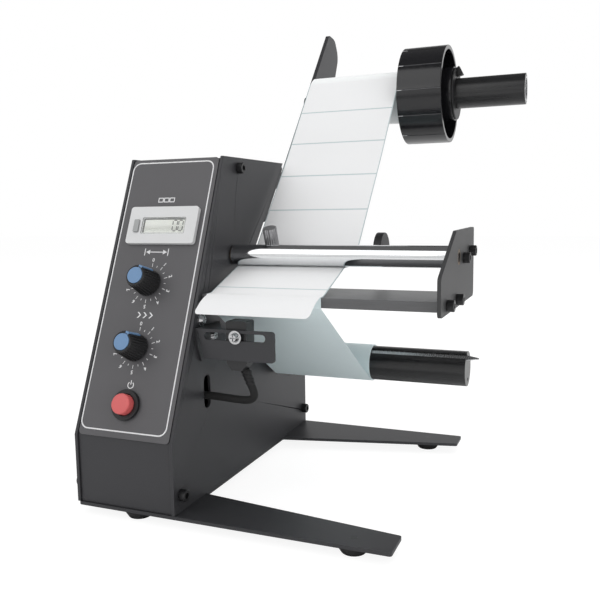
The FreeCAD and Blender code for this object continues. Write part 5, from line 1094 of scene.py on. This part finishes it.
        ridges = shop.ring_of("knob_flutes", shape, self.flutes - 3, pointer + 2 * step, step, foot - 0.4,
                              MATT_BLACK, shop.panel.frame_at(self.dial_u, v))
        made = join_pieces(f"{name}_fluted_knob", [body, ridges])
        shade_by_angle(made.data, 38.0)
        shop.place(made, f"{name}_dial", "matt_black_plastic", [f"{name}_knob"])

    def counter_reading(self) -> None:
        """Makes the counter's last digits, both at nought, and dark strips of painted shade along the top and
        left edges of its display.
        """
        half_w, half_h, bar = self.seven_width / 2, self.seven_height / 2, 0.62
        cut = bar * 0.55
        across = [(-half_w + cut, 0.0), (-half_w + cut + bar / 2, bar / 2), (half_w - cut - bar / 2, bar / 2),
                  (half_w - cut, 0.0), (half_w - cut - bar / 2, -bar / 2), (-half_w + cut + bar / 2, -bar / 2)]
        reach = half_h - cut
        down = [(0.0, reach), (bar / 2, reach - bar / 2), (bar / 2, cut + bar / 2), (0.0, cut),
                (-bar / 2, cut + bar / 2), (-bar / 2, reach - bar / 2)]
        strokes = []
        for number in range(self.counter_digits):
            centre = self.last_digit - number * self.seven_pitch
            for lift in (-half_h, half_h):
                strokes.append([(x + centre, y + lift) for x, y in across])
            for side in (-half_w, half_w):
                for flip in (-1, 1):
                    strokes.append([(x * flip + side + centre, y * flip) for x, y in down])
        wide, high = self.display_half
        inner, low = self.shade_left - wide, high - self.shade_top
        # Painted shade: dark strips along the top and left edges of the display stand in for the shadow of the
        # recessed window.
        strokes.append([(-wide, high), (wide, high), (wide, low), (-wide, low)])
        strokes.append([(-wide, low), (inner, low), (inner, -high), (-wide, -high)])
        made = []
        place = self.shop.panel.frame_at(self.counter_u, self.counter_v)
        for corners in strokes:
            segment = make_object("segment", extrude_shape(corners, 0.0, 0.05))
            self.shop.paint(segment, LCD_DIGIT_AND_SHADE)
            made.append(segment)
        digits = join_pieces("counter_digits", made)
        digits.data.transform(Matrix.Translation((0.0, 0.0, self.display_top(place) + 1e-6)))
        digits.data.transform(place)
        face_out(digits.data)
        self.shop.place(digits, "root", "display_panel")

    @staticmethod
    def display_top(place: Matrix) -> float:
        """Height of the display's face above the panel, in metres.

        Args:
            place: Frame on the panel at the window.

        Returns:
            The largest height of the display's points over that frame.
        """
        back = place.inverted()
        return max((back @ point.co).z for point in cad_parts["counter_display"].data.vertices)


@dataclass
class LabelPath:
    """Roller, rods, plates, web and labels."""

    shop: Workshop

    def build(self) -> None:
        """Dresses the label path's pieces."""
        shop = self.shop
        shop.dress("chrome_roller", CHROME, 0.25)
        shop.dress("shaft_bushes", BRONZE, 0.15)
        shop.dress("guide_rods", BRIGHT_STEEL, 0.3)
        shop.dress("peel_plate", PEEL_COAT, 0.15)
        shop.dress("guide_ring", MATT_BLACK, 0.4)
        shop.dress("lock_collar", BLACK_ANODISED, 0.3)
        shop.dress("thumb_screw", KNURLED_GREY, 0.1)
        # The web gets the liner's colour darkened as painted shade.
        shop.dress("label_web", WEB_PAPER_SHADE)
        shop.dress("labels", LABEL_WHITE)
        shop.dress("dispensed_label", LABEL_WHITE)
        shop.dress("liner", LINER_PAPER)


@dataclass
class TakeUp:
    """Drum, its drive and the liner wound on it."""

    shop: Workshop

    def build(self) -> None:
        """Dresses the take-up's pieces."""
        shop = self.shop
        shop.dress("takeup_drum", BLACK_ANODISED, 0.4)
        shop.dress("liner_clip", BRIGHT_STEEL, 0.15)
        shop.dress("wound_liner", LINER_PAPER)
        shop.dress("drum_shaft", BRIGHT_STEEL, 0.2)
        shop.dress("drum_gear", GEAR_STEEL, 0.12)
        shop.dress("motor_pinion", GEAR_STEEL, 0.12)
        shop.dress("drive_bracket", BRIGHT_STEEL, 0.2)
        shop.dress("gear_motor", ZINC, 0.3)


@dataclass
class Supply:
    """Roll, its tube and the hub for wide cores."""

    shop: Workshop
    roll_y: float = 224.0
    roll_z: float = 254.5
    hub_x: float = 77.0
    hub_length: float = 31.7
    hub_radius: float = 35.0
    hub_grooves: int = 12
    groove_depth: float = 0.35
    line_width: float = 0.4
    line_margin: float = 0.4
    line_sunk: float = 0.03
    glint_width: float = 0.46
    glint_length: float = 3.4

    def build(self) -> None:
        """Dresses the roll, tube and hub."""
        shop = self.shop
        axis = tuple(shop.datum.at(0.0, self.roll_y, self.roll_z))
        layers = Finish("roll_paper_layers", (0.76, 0.79, 0.8), (0.86, 0.87, 0.87), (0.45, 0.6), 5200.0,
                        stretch=(0.0, 1.0, 1.0), pattern=Pattern.WOUND, axis=axis, bump=0.4, depth=0.00008,
                        tone=0.05)
        board = Finish("wound_core_board", (0.3, 0.22, 0.14), (0.45, 0.35, 0.24), (0.6, 0.75), 2600.0,
                       stretch=(0.0, 1.0, 1.0), pattern=Pattern.WOUND, axis=axis, bump=0.3, tone=0.15)
        shop.dress("supply_tube", BLACK_ANODISED, 0.3)
        shop.dress("tube_end_cap", END_RING, 0.3)
        shop.dress("label_core", board)
        shop.dress("label_roll", layers)
        shop.dress("core_hub", GLOSS_BLACK, 0.3)
        shop.dress("hub_bush", MATT_BLACK, 0.3)
        shop.dress("hub_clip", MATT_BLACK, 0.4)
        # Painted highlights and glints: light lines in the hub's grooves, brighter at their inner ends.
        self.hub_lines("hub_mould_lines", HUB_GROOVE_HIGHLIGHT, self.line_width, self.hub_length - 2 * self.line_margin)
        self.hub_lines("hub_line_ends", HUB_LINE_END_GLINT, self.glint_width, self.glint_length)

    def hub_lines(self, name: str, finish: Finish, wide: float, long: float) -> None:
        """Makes light lines that lie in the hub's grooves: painted highlights along the gloss black hub's
        moulding lines, brighter at their inner ends.

        Args:
            name: Name of the lines.
            finish: The finish.
            wide: Width of a line in mm.
            long: Length of a line in mm, from the hub's inner end.
        """
        deep = self.groove_depth
        lift = deep / 2 if finish is HUB_GROOVE_HIGHLIGHT else deep
        corners = [(-wide / 2, -deep), (wide / 2, -deep), (wide / 2, lift - deep - self.line_sunk),
                   (-wide / 2, lift - deep - self.line_sunk)]
        shape = extrude_shape(corners, self.line_margin, self.line_margin + long)
        centre = self.shop.datum.at(self.hub_x, self.roll_y, self.roll_z)
        matrix = Matrix(((0.0, 0.0, 1.0, centre[0]), (1.0, 0.0, 0.0, centre[1]), (0.0, 1.0, 0.0, centre[2]),
                         (0.0, 0.0, 0.0, 1.0)))
        step = 2 * math.pi / self.hub_grooves
        made = self.shop.ring_of(name, shape, self.hub_grooves, 0.0, step, self.hub_radius, finish, matrix)
        face_out(made.data)
        self.shop.place(made, "wide_core_hub", "gloss_black_plastic")


@dataclass
class GapSensor:
    """Gap sensor with its screw, strain relief and cable."""

    shop: Workshop
    route: tuple[Point, ...] = ((30.4, 37.1, 72.7), (33.6, 37.7, 66.4), (31.0, 38.8, 62.0), (24.0, 40.0, 60.9),
                                (12.0, 40.8, 61.3), (0.0, 41.0, 61.7), (-11.0, 41.0, 61.0))
    radius: float = 2.3

    def build(self) -> None:
        """Makes the cable and dresses the sensor."""
        shop = self.shop
        self.cable()
        shop.dress("gap_sensor", BLACK_INK, 0.45)
        shop.dress("sensor_screw", BRIGHT_STEEL, 0.15)
        shop.dress("sensor_strain_relief", BLACK_RUBBER, 0.15)

    def route_curve(self, bevel: float) -> bpy.types.Object:
        """Makes the cable's smooth line.

        Args:
            bevel: Radius of the round section in metres, or 0 for the bare line.

        Returns:
            The curve object.
        """
        curve = bpy.data.curves.new("cable_line", "CURVE")
        curve.dimensions = "3D"
        curve.resolution_u = 12
        curve.bevel_depth = bevel
        curve.bevel_resolution = 6
        curve.use_fill_caps = True
        spline = curve.splines.new("NURBS")
        spline.points.add(len(self.route) - 1)
        for point, place in zip(spline.points, self.route):
            point.co = (*self.shop.datum.at(*place), 1.0)
        spline.order_u = 3
        spline.use_endpoint_u = True
        made = bpy.data.objects.new("cable_line", curve)
        bpy.context.scene.collection.objects.link(made)
        return made

    def cable(self) -> None:
        """Makes the cable that leaves the strain relief and goes in through the side plate."""
        line = plain_mesh(self.route_curve(0.0), "cable_path", Matrix.Identity(4))
        bpy.data.objects.remove(line)
        tube = plain_mesh(self.route_curve(self.radius * MM), "sensor_lead", Matrix.Identity(4))
        face_out(tube.data)
        shade_by_angle(tube.data, 50.0)
        self.shop.paint(tube, CABLE_JACKET)
        self.shop.datum.at(30.0, 40.0, 62.0)
        self.shop.datum.at(2.0, 40.0, 62.0)
        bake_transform(tube)
        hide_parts("sensor_cable")
        self.shop.report(tube, "made")


@dataclass
class Electrics:
    """Pieces inside the case and the inlet in its rear wall."""

    shop: Workshop

    def build(self) -> None:
        """Dresses the electric pieces."""
        self.shop.dress("power_supply", SUPPLY_CASE, 0.3)
        self.shop.dress("circuit_board", BOARD_GREEN, 0.1)
        self.shop.dress("power_inlet", MATT_BLACK, 0.3)


@dataclass
class Studio:
    """Camera, lamps, world and floor."""

    shop: Workshop
    place: Point = (213.67, -332.25, 171.65)
    yaw_deg: float = 22.26
    pitch_deg: float = 7.13
    roll_deg: float = -0.87
    focal_pixels: float = 727.56
    sensor: float = 36.0
    world_light: float = 0.5
    high_reflection: float = 0.13
    rear_lift: float = 0.28
    floor_glow: float = 1.18
    lamps: tuple[tuple[str, Point, Point, float, float], ...] = field(default_factory=lambda: (
        ("key", (-0.55, -0.9, 0.95), (0.0, 0.0, 0.12), 1.2, 6.2),
        ("fill", (1.1, -0.7, 0.45), (0.0, 0.0, 0.12), 1.0, 3.6),
        ("top", (0.1, 0.35, 1.2), (0.0, 0.0, 0.15), 1.2, 7.5),
        ("rim", (0.55, 1.15, 0.5), (0.0, 0.1, 0.2), 0.9, 3.5)))
    no_reflection: tuple[str, ...] = ("top", "rim")

    def build(self) -> None:
        """Sets the view, the lights and the floor."""
        bpy.context.scene.view_settings.view_transform = "Standard"
        self.camera()
        self.world()
        for lamp in self.lamps:
            self.lamp(*lamp)
        self.floor()

    def camera(self) -> None:
        """Sets the camera where the picture was taken from."""
        yaw, pitch, roll = (math.radians(angle) for angle in (self.yaw_deg, self.pitch_deg, self.roll_deg))
        back = Vector((math.sin(yaw) * math.cos(pitch), -math.cos(yaw) * math.cos(pitch), math.sin(pitch)))
        level = (-back).cross(Vector((0.0, 0.0, 1.0))).normalized()
        upright = level.cross(-back)
        right = level * math.cos(roll) + upright * math.sin(roll)
        up = upright * math.cos(roll) - level * math.sin(roll)
        data = bpy.data.cameras.new("camera")
        data.sensor_width = self.sensor
        data.lens = self.focal_pixels / IMAGE_SIZE * self.sensor
        data.clip_start = 0.01
        data.clip_end = 20.0
        made = bpy.data.objects.new("camera", data)
        turn = Matrix((right, up, back)).transposed().to_4x4()
        made.matrix_world = Matrix.Translation(self.shop.datum.at(*self.place)) @ turn
        bpy.context.scene.collection.objects.link(made)
        bpy.context.scene.camera = made

    def rays(self, tree: bpy.types.NodeTree, *names: str) -> bpy.types.NodeSocket:
        """Adds the mask of some kinds of ray.

        Args:
            tree: Tree of the world or the floor.
            names: Outputs of the Light Path node that count.

        Returns:
            The socket of the mask.
        """
        path = tree.nodes.new("ShaderNodeLightPath")
        mask = path.outputs[names[0]]
        for name in names[1:]:
            most = tree.nodes.new("ShaderNodeMath")
            most.operation = "MAXIMUM"
            tree.links.new(mask, most.inputs[0])
            tree.links.new(path.outputs[name], most.inputs[1])
            mask = most.outputs[0]
        return mask

    def sky(self, tree: bpy.types.NodeTree, strength: float) -> bpy.types.Node:
        """Adds a white background of one strength."""
        sky = tree.nodes.new("ShaderNodeBackground")
        sky.inputs["Color"].default_value = (1.0, 1.0, 1.0, 1.0)
        sky.inputs["Strength"].default_value = strength
        return sky

    def world(self) -> None:
        """Makes a soft pale world that is white behind the machine and darker overhead in reflections."""
        world = bpy.data.worlds.new("studio")
        bpy.context.scene.world = world
        world.use_nodes = True
        tree = world.node_tree
        tree.nodes.clear()
        way = tree.nodes.new("ShaderNodeTexCoord")
        parts = tree.nodes.new("ShaderNodeSeparateXYZ")
        tree.links.new(way.outputs["Generated"], parts.inputs[0])
        rear = tree.nodes.new("ShaderNodeMath")
        rear.operation = "MAXIMUM"
        rear.inputs[1].default_value = 0.0
        tree.links.new(parts.outputs["Y"], rear.inputs[0])
        height = tree.nodes.new("ShaderNodeMath")
        height.operation = "MULTIPLY_ADD"
        height.inputs[1].default_value = -self.rear_lift
        tree.links.new(rear.outputs[0], height.inputs[0])
        tree.links.new(parts.outputs["Z"], height.inputs[2])
        fade = tree.nodes.new("ShaderNodeMapRange")
        for name, value in (("From Min", 0.06), ("From Max", 0.32), ("To Min", 1.0),
                            ("To Max", self.high_reflection)):
            fade.inputs[name].default_value = value
        tree.links.new(height.outputs[0], fade.inputs["Value"])
        mirrored = self.sky(tree, 1.0)
        tree.links.new(fade.outputs["Result"], mirrored.inputs["Strength"])
        shown = self.sky(tree, self.world_light)
        for mask, sky in ((self.rays(tree, "Is Glossy Ray"), mirrored),
                          (self.rays(tree, "Is Camera Ray", "Is Transmission Ray"), self.sky(tree, 1.0))):
            mix = tree.nodes.new("ShaderNodeMixShader")
            tree.links.new(mask, mix.inputs["Fac"])
            tree.links.new(shown.outputs[0], mix.inputs[1])
            tree.links.new(sky.outputs[0], mix.inputs[2])
            shown = mix
        end = tree.nodes.new("ShaderNodeOutputWorld")
        tree.links.new(shown.outputs[0], end.inputs["Surface"])

    def lamp(self, name: str, place: Point, target: Point, size: float, power: float) -> None:
        """Hangs one large soft lamp.

        Args:
            name: Name of the lamp.
            place: Its place in metres.
            target: The point that it faces.
            size: Length of its sides in metres.
            power: Its power in watts.
        """
        data = bpy.data.lights.new(name, "AREA")
        data.shape = "SQUARE"
        data.size = size
        data.energy = power
        made = bpy.data.objects.new(name, data)
        made.location = place
        way = Vector(target) - Vector(place)
        made.rotation_euler = way.to_track_quat("-Z", "Y").to_euler()
        made.visible_camera = False
        made.visible_glossy = name not in self.no_reflection
        bpy.context.scene.collection.objects.link(made)

    def floor(self) -> None:
        """Lays a plain pale floor that keeps the object's shadow."""
        mesh = bpy.data.meshes.new("floor")
        half = 4.0
        low = min(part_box("rubber_feet")[0].z, 0.0)
        mesh.from_pydata([(-half, -half, low), (half, -half, low), (half, half, low), (-half, half, low)],
                         [], [(0, 1, 2, 3)])
        made = make_object("floor", mesh)
        material = bpy.data.materials.new("pale_floor")
        material.use_nodes = True
        tree = material.node_tree
        tree.nodes.clear()
        lit = tree.nodes.new("ShaderNodeBsdfDiffuse")
        lit.inputs["Color"].default_value = (0.86, 0.86, 0.86, 1.0)
        white = tree.nodes.new("ShaderNodeEmission")
        white.inputs["Strength"].default_value = self.floor_glow
        share = tree.nodes.new("ShaderNodeMath")
        share.operation = "MULTIPLY"
        share.inputs[1].default_value = 0.75
        tree.links.new(self.rays(tree, "Is Camera Ray"), share.inputs[0])
        mix = tree.nodes.new("ShaderNodeMixShader")
        tree.links.new(share.outputs[0], mix.inputs["Fac"])
        tree.links.new(lit.outputs[0], mix.inputs[1])
        tree.links.new(white.outputs[0], mix.inputs[2])
        end = tree.nodes.new("ShaderNodeOutputMaterial")
        tree.links.new(mix.outputs[0], end.inputs["Surface"])
        made.data.materials.append(material)


def clear_defaults() -> None:
    """Removes the objects that Blender starts with."""
    for name in ("Cube", "Light", "Camera"):
        extra = bpy.data.objects.get(name)
        if extra is not None:
            bpy.data.objects.remove(extra)


def main() -> None:
    """Builds the label dispenser's looks in order."""
    logging.basicConfig(level=logging.INFO, format="%(name)s: %(message)s")
    clear_defaults()
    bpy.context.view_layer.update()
    datum = Datum.of_frame()
    shop = Workshop(datum, PanelPlane(datum), ShaderGroups(), Trees())
    builders: list[Callable[[], None]] = [
        Studio(shop).build, GapSensor(shop).build, Housing(shop).build, ControlPanel(shop).build,
        LabelPath(shop).build, TakeUp(shop).build, Supply(shop).build, Electrics(shop).build]
    for build in builders:
        build()
    LOG.info("%d pieces", shop.count)


if __name__ == "__main__":
    main()
